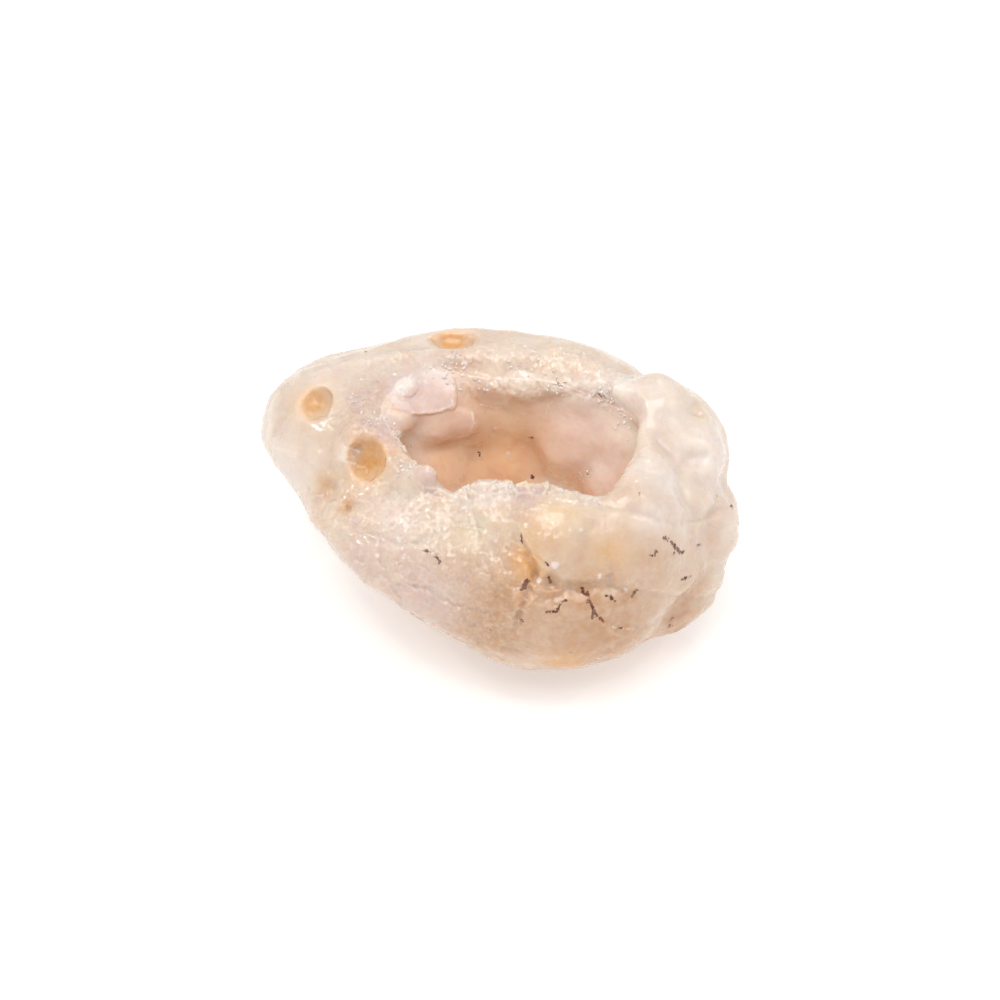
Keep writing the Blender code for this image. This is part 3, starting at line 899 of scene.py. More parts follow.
def write_back(body, mesh):
    """Put the body into a mesh that exists. The body is freed."""
    body.to_mesh(mesh)
    body.free()
    mesh.update()


def keep_shape(piece):
    """Replace the object's mesh by what its modifiers make of it, and remove them."""
    depsgraph = bpy.context.evaluated_depsgraph_get()
    shape = piece.evaluated_get(depsgraph)
    mesh = bpy.data.meshes.new_from_object(shape, preserve_all_data_layers=True, depsgraph=depsgraph)
    piece.modifiers.clear()
    piece.data = mesh


def crest_line():
    """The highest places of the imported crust, once round the hollow."""
    corners = corners_of(frame["nodes"]["crystal_crust"].data)
    away = corners - HOLLOW_HEART
    bearing = np.arctan2(away[:, 1], away[:, 0])
    line = []
    for i in range(CREST_BEARINGS):
        angle = 2.0 * math.pi * i / CREST_BEARINGS
        turn = np.abs(np.angle(np.exp(1j * (bearing - angle))))
        near = corners[turn < CREST_WINDOW]
        near = near[near[:, 2] > near[:, 2].max() - CREST_BAND]
        radius = np.linalg.norm(near[:, :2] - HOLLOW_HEART[:2], axis=1).mean()
        line.append((radius, near[:, 2].mean(), angle))
    line = np.array(line)
    for _ in range(CREST_SMOOTHINGS):
        line[:, :2] = (np.roll(line, 1, 0) + line + np.roll(line, -1, 0))[:, :2] / 3.0
    radius, level, angle = line.T
    places = np.stack((radius * np.cos(angle), radius * np.sin(angle), level), axis=1)
    places[:, :2] += HOLLOW_HEART[:2]
    return np.vstack((places, places[:1])), radius


def round_crest(bearing, values):
    """Values kept once round the crest, at bearings in radians."""
    turn = np.linspace(0.0, 2.0 * math.pi, CREST_BEARINGS + 1)
    return np.interp(bearing % (2.0 * math.pi), turn, np.append(values, values[0]))


def shift_rim(points):
    """The points after the rim is moved out and down by RIM_SHIFTS."""
    away = points[:, :2] - HOLLOW_HEART[:2]
    reach = np.linalg.norm(away, axis=1)
    bearing = np.arctan2(away[:, 1], away[:, 0]) % (2.0 * math.pi)
    radius = round_crest(bearing, PACKED_RADIUS)
    share = smooth_step(RIM_SHIFT_INNER, 1.0, reach / radius)
    share = share * (1.0 - smooth_step(0.0, RIM_SHIFT_FADE, reach - radius))
    share = share * smooth_step(*RIM_SHIFT_LEVELS, points[:, 2])
    table = np.array(RIM_SHIFTS)
    out, down = (np.interp(np.degrees(bearing), table[:, 0], table[:, i]) * share for i in (1, 2))
    moved = points.copy()
    moved[:, :2] += away / np.maximum(reach, 1e-6)[:, None] * out[:, None]
    moved[:, 2] -= down
    return moved


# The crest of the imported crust, and the same line after the rim is moved.
PACKED_CREST, PACKED_RADIUS = crest_line()
CREST = shift_rim(PACKED_CREST)
CREST_RADIUS = np.linalg.norm(CREST[:-1, :2] - HOLLOW_HEART[:2], axis=1)

# Where the skin's corners lie before it sinks under the lining, kept until the lining is made.
WHOLE_FIELDS = ("whole_x", "whole_y", "whole_z")


def rim_place(points, normals):
    """Each point's bearing round the hollow in degrees, and its distance from the crest, below 0 inside."""
    away = points[:, :2] - HOLLOW_HEART[:2]
    reach = np.linalg.norm(away, axis=1)
    bearing = np.arctan2(away[:, 1], away[:, 0])
    radius = round_crest(bearing, CREST_RADIUS)
    level = round_crest(bearing, CREST[:-1, 2])
    undercut = (units(HOLLOW_HEART - points) * normals).sum(1) > UNDERCUT_FACING
    undercut &= (points[:, 2] < level - UNDERCUT_DEPTH) & (reach < radius + UNDERCUT_REACH)
    undercut &= np.abs(np.degrees(bearing) - FRONT_BEARING) < UNDERCUT_SPREAD
    side = np.where((reach < radius) | undercut, -1.0, 1.0)
    return np.degrees(bearing), side * distance_to_path(points, CREST, CREST_FAR)


def border_place(points, normals):
    """Like the distance from the crest, but less where the lining reaches farther out, round the shelf."""
    bearing, away = rim_place(points, normals)
    return away - SHELF_COVER * bell(turn_from(bearing, SHELF_BEARING), SHELF_SPREAD, 4)


def sugar_share(points, normals, surface):
    """How sugary the stone is at each point, from 0 to 1."""
    bearing, away = rim_place(points, normals)
    away = away + waves_at(points, SUGAR_WAVES)
    share = np.zeros(len(points))
    for middle, spread, inner, outer, amount in DRUSE_BANDS.values():
        here = np.minimum(DRUSE_FULL * bell(turn_from(bearing, middle), spread), 1.0) * amount
        within = smooth_step(-inner - DRUSE_FADE, -inner + DRUSE_FADE, away)
        beyond = smooth_step(outer - DRUSE_FADE, outer + DRUSE_FADE, away)
        share = np.maximum(share, here * (within * (1.0 - beyond)))
    for pixel, reach, amount in SUGAR_SPOTS.values():
        share = np.maximum(share, amount * bell(distance_to_pixel(points, pixel, surface), reach))
    return share * clear_of_pits(points)


def crystal_fields(points, surface):
    """How thick the crystals stand at each point, and how wide they are in millimetres."""
    thick = np.zeros(len(points))
    width = np.full(len(points), COMMON_WIDTH)
    for pixel, reach, amount, size in CLUSTERS.values():
        here = amount * bell(distance_to_pixel(points, pixel, surface), reach)
        width = np.where(here > thick, size, width)
        thick = np.maximum(thick, here)
    thick[thick < THINNEST_DRUSE] = 0.0
    return thick * clear_of_pits(points), width


def welded(node):
    """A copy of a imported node's mesh in one skin, with the rim moved to its place."""
    mesh = frame["nodes"][node].data.copy()
    set_corners(mesh, shift_rim(corners_of(mesh)))
    body = bmesh.new()
    body.from_mesh(mesh)
    bpy.data.meshes.remove(mesh)
    bmesh.ops.remove_doubles(body, verts=body.verts, dist=0.01 * MM)
    body.normal_update()
    return body


def grown_crust():
    """The crust with its outer side pushed out, so that it closes the gap to the nodule."""
    body = welded("crystal_crust")
    heart = Vector(HOLLOW_HEART * MM)
    for corner in body.verts:
        if corner.normal.dot(heart - corner.co) < 0.0:
            outward = Vector((corner.normal.x, corner.normal.y, min(corner.normal.z, 0.0)))
            corner.co += outward * CREST_FILL * MM
    return body


def boss_domes():
    """Flat ellipsoids for the bosses and balls for the icy lumps, half buried in the crust."""
    crust = mesh_of(welded("crystal_crust"), "crust")
    surface = tree_of(crust)
    bpy.data.meshes.remove(crust)
    body = bmesh.new()
    for pixel, radius, thickness, rise in BOSSES.values():
        place = shown_at(pixel, surface)
        outward = unit(HOLLOW_HEART - place)
        add_dome(body, place + outward * (rise - thickness), outward, radius, thickness)
    towards = towards_camera()
    for pixel, radius, rise in CREST_LUMPS.values():
        add_dome(body, shown_at(pixel, surface) + towards * (rise - radius), towards, radius, radius)
    return body


def add_dome(body, middle, outward, radius, thickness):
    """Add an ellipsoid with its short axis along a direction."""
    at = Matrix.Translation(Vector(middle * MM))
    at @= Vector(outward).to_track_quat("Z", "Y").to_matrix().to_4x4()
    at @= Matrix.Diagonal((radius * MM, radius * MM, thickness * MM, 1.0))
    bmesh.ops.create_icosphere(body, subdivisions=3, radius=1.0, matrix=at)


def crest_tube():
    """A closed tube just under the crest, which fills the furrow between crust and nodule."""
    body = bmesh.new()
    rings = []
    for place in CREST[:-1]:
        outward = unit((place - HOLLOW_HEART) * (1.0, 1.0, 0.0))
        middle = place + outward * TUBE_OUT - np.array((0.0, 0.0, TUBE_RADIUS + TUBE_SINK))
        ring = []
        for j in range(TUBE_SIDES):
            angle = 2.0 * math.pi * j / TUBE_SIDES
            spoke = outward * math.cos(angle) + np.array((0.0, 0.0, math.sin(angle)))
            ring.append(body.verts.new((middle + spoke * TUBE_RADIUS) * MM))
        rings.append(ring)
    for ring, following in zip(rings, rings[1:] + rings[:1]):
        for j in range(TUBE_SIDES):
            k = (j + 1) % TUBE_SIDES
            body.faces.new((ring[j], following[j], following[k], ring[k]))
    bmesh.ops.recalc_face_normals(body, faces=body.faces)
    return body


def fine_copy(bodies, name, voxel, rounds):
    """The bodies fused in small even cells, with their flat triangles smoothed away."""
    joined = bmesh.new()
    for body in bodies:
        part = mesh_of(body, "part")
        joined.from_mesh(part)
        bpy.data.meshes.remove(part)
    piece = bpy.data.objects.new(name, mesh_of(joined, name))
    bpy.context.scene.collection.objects.link(piece)
    cells = piece.modifiers.new("cells", "REMESH")
    cells.mode = "VOXEL"
    cells.voxel_size = voxel
    add_smoothing(piece, "soften", rounds)
    keep_shape(piece)
    return piece


def add_smoothing(piece, name, rounds, group=""):
    """A modifier that evens out the shape, all over or where a vertex group says so."""
    soften = piece.modifiers.new(name, "SMOOTH")
    soften.factor = SMOOTHING
    soften.iterations = rounds
    soften.vertex_group = group


def soften_rim(piece):
    """Wear the skin soft along the crest, least at the jagged front."""
    points = corners_of(piece.data)
    normals = normals_of(piece.data)
    bearing, away = rim_place(points, normals)
    middle, spread, crisp = RIM_CRISP
    inside = facing_hollow(points, normals) * smooth_step(*RIM_SOFT_INSIDE, -away)
    weights = np.maximum(bell(away, RIM_REACH) * (1.0 - crisp * bell(bearing - middle, spread)), inside)
    surface = tree_of(piece.data)
    for pixel, reach in SOFT_SPOTS.values():
        weights = np.maximum(weights, bell(distance_to_pixel(points, pixel, surface), reach))
    soften_where(piece, "rim", weights, RIM_ROUNDS)


def soften_where(piece, name, weights, rounds):
    """Smooth the shape where the weights are high."""
    zone = piece.vertex_groups.new(name=name)
    for level in range(1, 11):
        chosen = np.flatnonzero(np.round(weights * 10.0) == level)
        zone.add(chosen.tolist(), level / 10.0, "REPLACE")
    add_smoothing(piece, name, rounds, name)
    keep_shape(piece)


def soften_pits(piece):
    """Round the edges of the pits."""
    points = corners_of(piece.data)
    weights = np.zeros(len(points))
    for pit in PITS.values():
        weights = np.maximum(weights, bell(pit_reach(points, pit) - 1.0, PIT_EDGE))
    soften_where(piece, "pits", weights, PIT_ROUNDS)


def refine(mesh, chosen):
    """Split each edge whose two corners are chosen in half."""
    body = bmesh.new()
    body.from_mesh(mesh)
    body.verts.ensure_lookup_table()
    edges = [e for e in body.edges if chosen[e.verts[0].index] and chosen[e.verts[1].index]]
    bmesh.ops.subdivide_edges(body, edges=edges, cuts=1, use_grid_fill=True)
    write_back(body, mesh)


def refine_details(mesh, surface):
    """Make the cells smaller near the grooves, flecks and pale lines and in the pits."""
    for reach in REFINE_REACHES:
        points = corners_of(mesh)
        chosen = np.zeros(len(points), bool)
        for _, distance in path_distances(points, {**GROOVES, **FLECKS, **PALE_LINES_AND_HIGHLIGHTS}, surface, reach + 0.2):
            chosen |= distance < reach
        if reach == REFINE_REACHES[0]:
            for pit in PITS.values():
                chosen |= pit_reach(points, pit) < REFINE_PITS
        refine(mesh, chosen)


def triangulate(mesh):
    """Turn every face into triangles."""
    body = bmesh.new()
    body.from_mesh(mesh)
    bmesh.ops.triangulate(body, faces=body.faces)
    write_back(body, mesh)


def turned(points, centre, radii, turn):
    """The points in the space where an ellipsoid is a ball of radius 1, and the turn into it."""
    c, s = math.cos(math.radians(turn)), math.sin(math.radians(turn))
    into = np.array(((c, s, 0.0), (-s, c, 0.0), (0.0, 0.0, 1.0)))
    return (points - np.array(centre)) @ into.T / np.array(radii), into


def pit_reach(points, pit):
    """How far each point lies from a pit's centre: 1 is at its wall."""
    return np.linalg.norm(turned(points, *pit[:3])[0], axis=1)


def sink_pit(points, centre, radii, turn, ragged):
    """Push the points that lie in a pit's ellipsoid out to its far wall, seen from above its mouth."""
    local, into = turned(points, centre, radii, turn)
    away = unit(np.array(centre) - STONE_HEART) + np.array((0.0, 0.0, PIT_LEAN))
    mouth = into @ unit(away) * PIT_MOUTH
    bearing = np.arctan2(local[:, 1], local[:, 0])
    ring = np.stack((np.cos(bearing), np.sin(bearing), np.full(len(bearing), radii[0])), axis=1)
    edge = 1.0 + ragged * noise_at(ring, PIT_RAGGED_SIZE) * smooth_step(*PIT_LIP, local[:, 2])
    inside = np.linalg.norm(local, axis=1) < edge
    chosen = local[inside]
    limit = edge[inside] * (1.0 + waves_at(chosen, PIT_UNEVEN))
    step = units(chosen - mouth)
    along_step = step @ mouth
    root = np.sqrt(np.maximum(along_step**2 - (mouth @ mouth - limit**2), 0.0))
    far = mouth + step * (root - along_step)[:, None]
    moved = points.copy()
    moved[inside] = (far * np.array(radii)) @ into + np.array(centre)
    return moved


def path_distances(points, table, surface, reach):
    """For each entry of a table of paths, the entry and the distances to its path."""
    for entry in table.values():
        yield entry, distance_to_path(points, along(entry[-1], surface), reach)


def distance_to_lines(points, table, surface):
    """Distance from each point to the edge of the nearest line of a table."""
    found = np.full(len(points), LINE_REACH)
    for (half_width, _), distance in path_distances(points, table, surface, LINE_REACH):
        found = np.minimum(found, distance - half_width)
    return found


def paint_fields(mesh):
    """Keep the stains with their painted light and shade, flecks, pale lines with painted highlights and
    crystal share on the mesh, for its material.
    """
    points = corners_of(mesh)
    surface = tree_of(mesh)
    fields = {kind: np.zeros(len(points)) for kind in STAIN_KINDS}
    for kind, pixel, reach, strength in STAINS.values():
        here = strength * bell(distance_to_pixel(points, pixel, surface), reach)
        fields[kind] = np.maximum(fields[kind], here)
    wobble = waves_at(points, PATCH_WAVES)
    for kind, strength, edge, outline in PATCHES.values():
        depth = depth_in_outline(points, outline, surface, FIELD_REACH) + wobble
        fields[kind] = np.maximum(fields[kind], strength * smooth_step(-edge, edge, depth))
    for kind in ("pink", "milk"):
        fields[kind] *= clear_of_pits(points)
    low = LOW_TAN_AND_SHADE * (1.0 - smooth_step(*LOW_TAN_AND_SHADE_LEVELS, points[:, 2]))
    fields["tan"] = np.maximum(fields["tan"], low)
    for kind, values in fields.items():
        set_field(mesh, kind, values)
    set_field(mesh, "fleck", distance_to_lines(points, FLECKS, surface))
    # The pale lines, spots and seed: the edge lines and the sparks are painted highlights.
    pale_line_and_highlight = distance_to_lines(points, PALE_LINES_AND_HIGHLIGHTS, surface)
    for pixel, radius in WHITE_SPOTS_AND_GLINTS.values():
        pale_line_and_highlight = np.minimum(pale_line_and_highlight, distance_to_pixel(points, pixel, surface) - radius)
    pale_line_and_highlight = np.minimum(pale_line_and_highlight, -depth_in_outline(points, WHITE_SEED, surface, SHELF_REACH))
    set_field(mesh, "pale_line_and_highlight", pale_line_and_highlight)
    thick, width = crystal_fields(points, surface)
    set_field(mesh, "druse", thick)
    set_field(mesh, "crystal_width", width)
    normals = normals_of(mesh)
    # How far inside the hollow, for the painted light that lifts the colour there.
    set_field(mesh, "inside", 1.0 - smooth_step(*INSIDE_FADE, rim_place(points, normals)[1]))
    set_field(mesh, "border", bell(border_place(points, normals) - CREST_COVER[0], BORDER_REACH))
    sugar = np.maximum(sugar_share(points, normals, surface), BROKEN_SUGAR * broken_share(points))
    set_field(mesh, "sugar", sugar)


def clear_of_pits(points):
    """1 away from the pits, 0 in them."""
    clear = np.ones(len(points))
    for pit in PITS.values():
        clear = np.minimum(clear, smooth_step(*PIT_CLEAR, pit_reach(points, pit)))
    return clear


def finish_piece(piece, slot, material, *nodes):
    """Give the piece its material and let it ride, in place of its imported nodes."""
    piece.data.materials.clear()
    piece.data.materials.append(material)
    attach(piece, "root")
    if nodes:
        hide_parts(*nodes)


def broken_share(points):
    """1 on the rough fracture at the front left, 0 on the smooth skin."""
    return smooth_step(*BROKEN_FADE, units(points - STONE_HEART) @ unit(BROKEN_SIDE))


def facing_hollow(points, normals):
    """1 where the surface faces the hollow, 0 where it faces away."""
    return smooth_step(*FACING_FADE, (units(HOLLOW_MOUTH - points) * normals).sum(1))


def grain_rise(points, broken):
    """Unevenness that the skin and the lining share, so that no seam shows where they cross."""
    chosen = broken > SMALLEST_SHARE
    chips = np.zeros(len(points))
    for size, height, place in BROKEN_CHIPS:
        chips[chosen] += height * chips_at(points[chosen] + place, size)
    return waves_at(points, *GRAIN_WAVES) + chips * broken


def shape_skin(points, normals, surface):
    """The nodule's fine shape, whole and as it sinks under the lining: pits, swells, grooves and grain."""
    above = smooth_step(*GROUND_FADE, points[:, 2])
    facing = facing_hollow(points, normals)
    sink = SKIN_SINK * facing * (1.0 - smooth_step(*CREST_SINK, border_place(points, normals)))
    rise = np.zeros(len(points))
    for pixel, reach, height in SWELLS.values():
        rise += height * bell(distance_to_pixel(points, pixel, surface), reach, 4)
    shown = smooth_step(*SHOWN_FADE, normals @ towards_camera())
    wobble = waves_at(points, FIELD_WAVES)
    raised = np.zeros(len(points))
    for height, edge, outline in FIELDS.values():
        depth = depth_in_outline(points, outline, surface, FIELD_REACH) + wobble
        raised = np.maximum(raised, height * smooth_step(-edge, edge, depth))
    rise += raised * shown
    wobble = np.clip(1.0 + waves_at(points, GROOVE_WAVES), *GROOVE_LIMITS)
    for (depth, half_width, _), distance in path_distances(points, GROOVES, surface, GROOVE_REACH):
        rise -= depth * wobble * bell(distance, half_width)
    rise += crest_jags(points, normals)
    broken = np.maximum(broken_share(points), SUGAR_BREAK * sugar_share(points, normals, surface))
    size, height = SKIN_FLATS
    rise += grain_rise(points, broken) + height * chips_at(points, size) * (1.0 - facing)
    points = stand_out(points, normals, surface) + normals * (rise * above)[:, None]
    for pit in PITS.values():
        points = sink_pit(points, *pit)
    points[:, 2] = np.where(points[:, 2] < GROUND_LEVEL, 0.0, points[:, 2])
    return points, points - normals * sink[:, None]


def crest_jags(points, normals):
    """How far the chips of the jagged front crest rise at each point."""
    bearing, away = rim_place(points, normals)
    jag = bell(away, CREST_JAG_REACH) * bell(bearing - FRONT_BEARING, CREST_JAG_SPREAD, 4)
    chosen = jag > SMALLEST_SHARE
    size, place = CREST_JAG_CHIPS
    rise = np.zeros(len(points))
    rise[chosen] = CREST_JAG * jag[chosen] * chips_at(points[chosen] + place, size)
    return rise


def stand_out(points, normals, surface):
    """The points moved into the hollow where crisp steps stand in it."""
    directions = units(points - HOLLOW_HEART)
    wobble = waves_at(points, SHELF_WAVES)
    step = np.zeros(len(points))
    for height, edge, outline in SHELVES.values():
        depth = depth_in_outline(points, outline, surface, SHELF_REACH) + wobble
        step += height * smooth_step(-edge, edge, depth)
    return points - directions * (step * facing_hollow(points, normals))[:, None]


def take_whole(mesh):
    """Where the skin's corners lie before it sinks. The values leave the mesh."""
    whole = np.stack([field_of(mesh, name) for name in WHOLE_FIELDS], axis=1)
    for name in WHOLE_FIELDS:
        mesh.attributes.remove(mesh.attributes[name])
    return whole


def shape_lining(points, normals, surface, skin):
    """The lining's fine shape: it follows the skin near the crest and dips under it at the crest."""
    facing = facing_hollow(points, normals)
    points = stand_out(points, normals, surface)
    broken = SUGAR_BREAK * sugar_share(points, normals, surface)
    points += normals * (LINING_SKIN + grain_rise(points, broken))[:, None]
    rim = border_place(points, normals)
    for i in np.flatnonzero(rim > CREST_FOLLOW[0]):
        place, outward = skin.find_nearest(points[i])[:2]
        outward = np.array(outward)
        height = (points[i] - np.array(place)) @ outward
        follow = smooth_step(*CREST_FOLLOW, rim[i]) * facing[i]
        wanted = height + (CREST_LIP - height) * follow
        if rim[i] > CREST_COVER[0]:
            dip = (CREST_DIP + CREST_LIP) * smooth_step(*CREST_COVER, rim[i])
            wanted = min(wanted, CREST_LIP - dip)
        points[i] += outward * (wanted - height)
    return points


# Materials


def add_node(tree, kind, place, **settings):
    """A node at a place in the tree, with its settings."""
    made = tree.nodes.new(kind)
    made.location = place
    for name, value in settings.items():
        setattr(made, name, value)
    return made


def add_math(tree, operation, first, second, place):
    """The output of a Math node on two sockets or numbers."""
    made = add_node(tree, "ShaderNodeMath", place, operation=operation)
    for socket, value in zip(made.inputs, (first, second)):
        if isinstance(value, (int, float)):
            socket.default_value = value
        else:
            tree.links.new(value, socket)
    return made.outputs[0]


def add_range(tree, value, place, ranges, kind="SMOOTHSTEP"):
    """The value taken from one range to another: from low, from high, to low, to high."""
    made = add_node(tree, "ShaderNodeMapRange", place, interpolation_type=kind)
    for name, number in zip(("From Min", "From Max", "To Min", "To Max"), ranges):
        made.inputs[name].default_value = number
    tree.links.new(value, made.inputs["Value"])
    return made.outputs["Result"]


def add_noise(tree, coordinates, size, detail, place):
    """Noise with features of a size in millimetres, from about 0.2 to 0.8."""
    made = add_node(tree, "ShaderNodeTexNoise", place)
    made.inputs["Scale"].default_value = 1.0 / (size * MM)
    made.inputs["Detail"].default_value = detail
    tree.links.new(coordinates, made.inputs["Vector"])
    return made.outputs["Fac"]


def add_clouds(tree, coordinates, size, detail, place, ranges):
    """Noise with features of a size in millimetres, taken to a range."""
    value = add_noise(tree, coordinates, size, detail, place)
    return add_range(tree, value, (place[0] + 200, place[1]), ranges)


def add_cells(tree, coordinates, size, place):
    """A random colour for each cell of a size in millimetres."""
    made = add_node(tree, "ShaderNodeTexVoronoi", place)
    made.inputs["Scale"].default_value = 1.0 / (size * MM)
    tree.links.new(coordinates, made.inputs["Vector"])
    return made.outputs["Color"]


def add_vector_math(tree, operation, first, second, place):
    """The output of a Vector Math node on a socket and a socket, a vector or nothing."""
    made = add_node(tree, "ShaderNodeVectorMath", place, operation=operation)
    tree.links.new(first, made.inputs[0])
    target = made.inputs["Scale" if operation == "SCALE" else 1]
    if isinstance(second, tuple):
        target.default_value = second
    elif second is not None:
        tree.links.new(second, target)
    return made.outputs[0]


def add_mix(tree, share, first, second, place):
    """A colour between two colours."""
    made = add_node(tree, "ShaderNodeMix", place, data_type="RGBA")
    tree.links.new(share, made.inputs["Factor"])
    for name, colour in (("A", first), ("B", second)):
        if isinstance(colour, tuple):
            made.inputs[name].default_value = colour
        else:
            tree.links.new(colour, made.inputs[name])
    return made.outputs["Result"]


def add_field(tree, name, place):
    """The values that the mesh keeps under a name."""
    return add_node(tree, "ShaderNodeAttribute", place, attribute_name=name).outputs["Fac"]


def rgba(colour):
    """A colour with full alpha."""
    return (*colour, 1.0)


def new_material(name):
    """A material, its nodes and its main shader."""
    material = bpy.data.materials.new(name)
    material.use_nodes = True
    return material, material.node_tree, material.node_tree.nodes["Principled BSDF"]


def new_group(name, inputs, outputs):
    """A shader group with its sockets, and its input and output nodes."""
    tree = bpy.data.node_groups.new(name, "ShaderNodeTree")
    for socket, kind in inputs:
        tree.interface.new_socket(socket, in_out="INPUT", socket_type=kind)
    for socket, kind in outputs:
        tree.interface.new_socket(socket, in_out="OUTPUT", socket_type=kind)
    given = add_node(tree, "NodeGroupInput", (-1600, 0)).outputs
    result = add_node(tree, "NodeGroupOutput", (1800, 0)).inputs
    coordinates = add_node(tree, "ShaderNodeTexCoord", (-1600, -500)).outputs["Object"]
    return tree, given, result, coordinates


def tint_group():
    """Shared colour of the chalcedony: cream, peach clouds, stains with painted light and shade, crystalline
    speckle, pale lines with painted highlights, flecks, and painted light inside the hollow.
    """
    tree, given, result, place = new_group(
        "chalcedony_tints",
        [(name, "NodeSocketColor") for name in TINTS] + [("Speckle", "NodeSocketFloat")],
        [("Colour", "NodeSocketColor"), ("Flecks", "NodeSocketFloat")],
    )
    clouds = add_clouds(tree, place, 4.5, 3.0, (-1300, 300), (0.38, 0.66, 0.0, 1.0))
    colour = add_mix(tree, clouds, given["Cream"], given["Peach"], (-900, 300))
    blush = add_clouds(tree, place, 2.2, 4.0, (-1300, 620), (0.48, 0.72, 0.0, 0.55))
    colour = add_mix(tree, blush, colour, given["Pink"], (-850, 500))
    streaks = add_noise(tree, place, 2.6, 6.0, (-1300, 900))
    streaks = add_math(tree, "SUBTRACT", streaks, 0.5, (-1100, 900))
    streaks = add_math(tree, "ABSOLUTE", streaks, 0.0, (-950, 900))
    streaks = add_range(tree, streaks, (-800, 900), (0.05, 0.0, 0.0, 0.14))
    colour = add_mix(tree, streaks, colour, given["Milk"], (-800, 700))
    mottle = add_clouds(tree, place, 1.0, 4.0, (-1300, 0), (0.25, 0.75, 0.75, 1.25))
    for i, kind in enumerate(STAIN_KINDS):
        at = -700 + 220 * i
        share = add_math(tree, "MULTIPLY", add_field(tree, kind, (at, -300)), mottle, (at, -120))
        share = add_math(tree, "MINIMUM", share, 1.0, (at, 40))
        colour = add_mix(tree, share, colour, given[kind.title()], (at, 300))
    chance = add_node(tree, "ShaderNodeSeparateColor", (480, -500))
    tree.links.new(add_cells(tree, place, SPECKLE_SIZE, (300, -500)), chance.inputs["Color"])
    sugar = add_range(tree, add_field(tree, "sugar", (300, -760)), (480, -760), (0.0, 1.0, 0.25, 1.0))
    speckle = add_math(tree, "POWER", chance.outputs["Red"], 3.0, (660, -500))
    speckle = add_math(tree, "MULTIPLY", speckle, given["Speckle"], (820, -500))
    speckle = add_math(tree, "MULTIPLY", speckle, sugar, (980, -500))
    colour = add_mix(tree, speckle, colour, given["Milk"], (1100, 300))
    ragged = add_clouds(tree, place, 0.36, 5.0, (300, -1000), (0.25, 0.75, -0.19, 0.19))
    # Pale lines: white fibres, and painted highlights along edges and at sparks.
    slight = add_math(tree, "MULTIPLY", ragged, 0.5, (640, -1700))
    edge = add_math(tree, "ADD", add_field(tree, "pale_line_and_highlight", (300, -1700)), slight, (820, -1700))
    pale_lines_and_highlights = add_range(tree, edge, (980, -1700), (0.16, -0.14, 0.0, 0.85))
    colour = add_mix(tree, pale_lines_and_highlights, colour, given["Milk"], (1250, 300))
    edge = add_math(tree, "ADD", add_field(tree, "fleck", (300, -1240)), ragged, (820, -1000))
    flecks = add_range(tree, edge, (980, -1000), (0.06, -0.05, 0.0, 0.95))
    faded = add_clouds(tree, place, 0.8, 1.0, (300, -1500), (0.35, 0.6, 0.75, 1.0))
    flecks = add_math(tree, "MULTIPLY", flecks, faded, (1140, -1000))
    colour = add_mix(tree, flecks, colour, given["Fleck"], (1400, 300))
    # Painted light: the colour is made lighter inside the hollow.
    hollow_painted_light = add_range(tree, add_field(tree, "inside", (1300, -300)), (1450, -300), (0.0, 1.0, 1.0, 1.2))
    colour_with_painted_light = add_vector_math(tree, "SCALE", colour, hollow_painted_light, (1600, 300))
    tree.links.new(colour_with_painted_light, result["Colour"])
    tree.links.new(flecks, result["Flecks"])
    return tree


def grain_group():
    """Shared relief: waxy unevenness and fine grains, with small facets where the stone is sugary."""
    tree, given, result, place = new_group(
        "stone_grain",
        [("Height", "NodeSocketFloat"), ("Facets", "NodeSocketFloat")],
        [("Normal", "NodeSocketVector")],
    )
    sugar = add_field(tree, "sugar", (-1400, -900))
    waves = add_noise(tree, place, 1.3, 2.0, (-1200, 0))
    grains = add_noise(tree, place, 0.35, 3.0, (-1200, -260))
    rough = add_range(tree, sugar, (-1200, -520), (0.0, 1.0, 0.12, 1.0))
    height = add_math(tree, "MULTIPLY", grains, rough, (-900, -260))
    height = add_math(tree, "ADD", height, waves, (-700, -100))
    height = add_math(tree, "MULTIPLY", height, given["Height"], (-500, -100))
    bump = add_node(tree, "ShaderNodeBump", (-300, -100))
    bump.inputs["Distance"].default_value = MM
    tree.links.new(height, bump.inputs["Height"])
    cells = add_cells(tree, place, FACET_SIZE, (-1200, -1100))
    centred = add_vector_math(tree, "SUBTRACT", cells, (0.5, 0.5, 0.5), (-1000, -1100))
    amount = add_math(tree, "MULTIPLY", sugar, given["Facets"], (-1000, -900))
    tilt = add_vector_math(tree, "SCALE", centred, amount, (-800, -1100))
    tilted = add_vector_math(tree, "ADD", bump.outputs["Normal"], tilt, (0, -300))
    level = add_vector_math(tree, "NORMALIZE", tilted, None, (200, -300))
    tree.links.new(level, result["Normal"])
    return tree


def shared(name, make):
    """The node group of that name, made the first time."""
    return bpy.data.node_groups.get(name) or make()


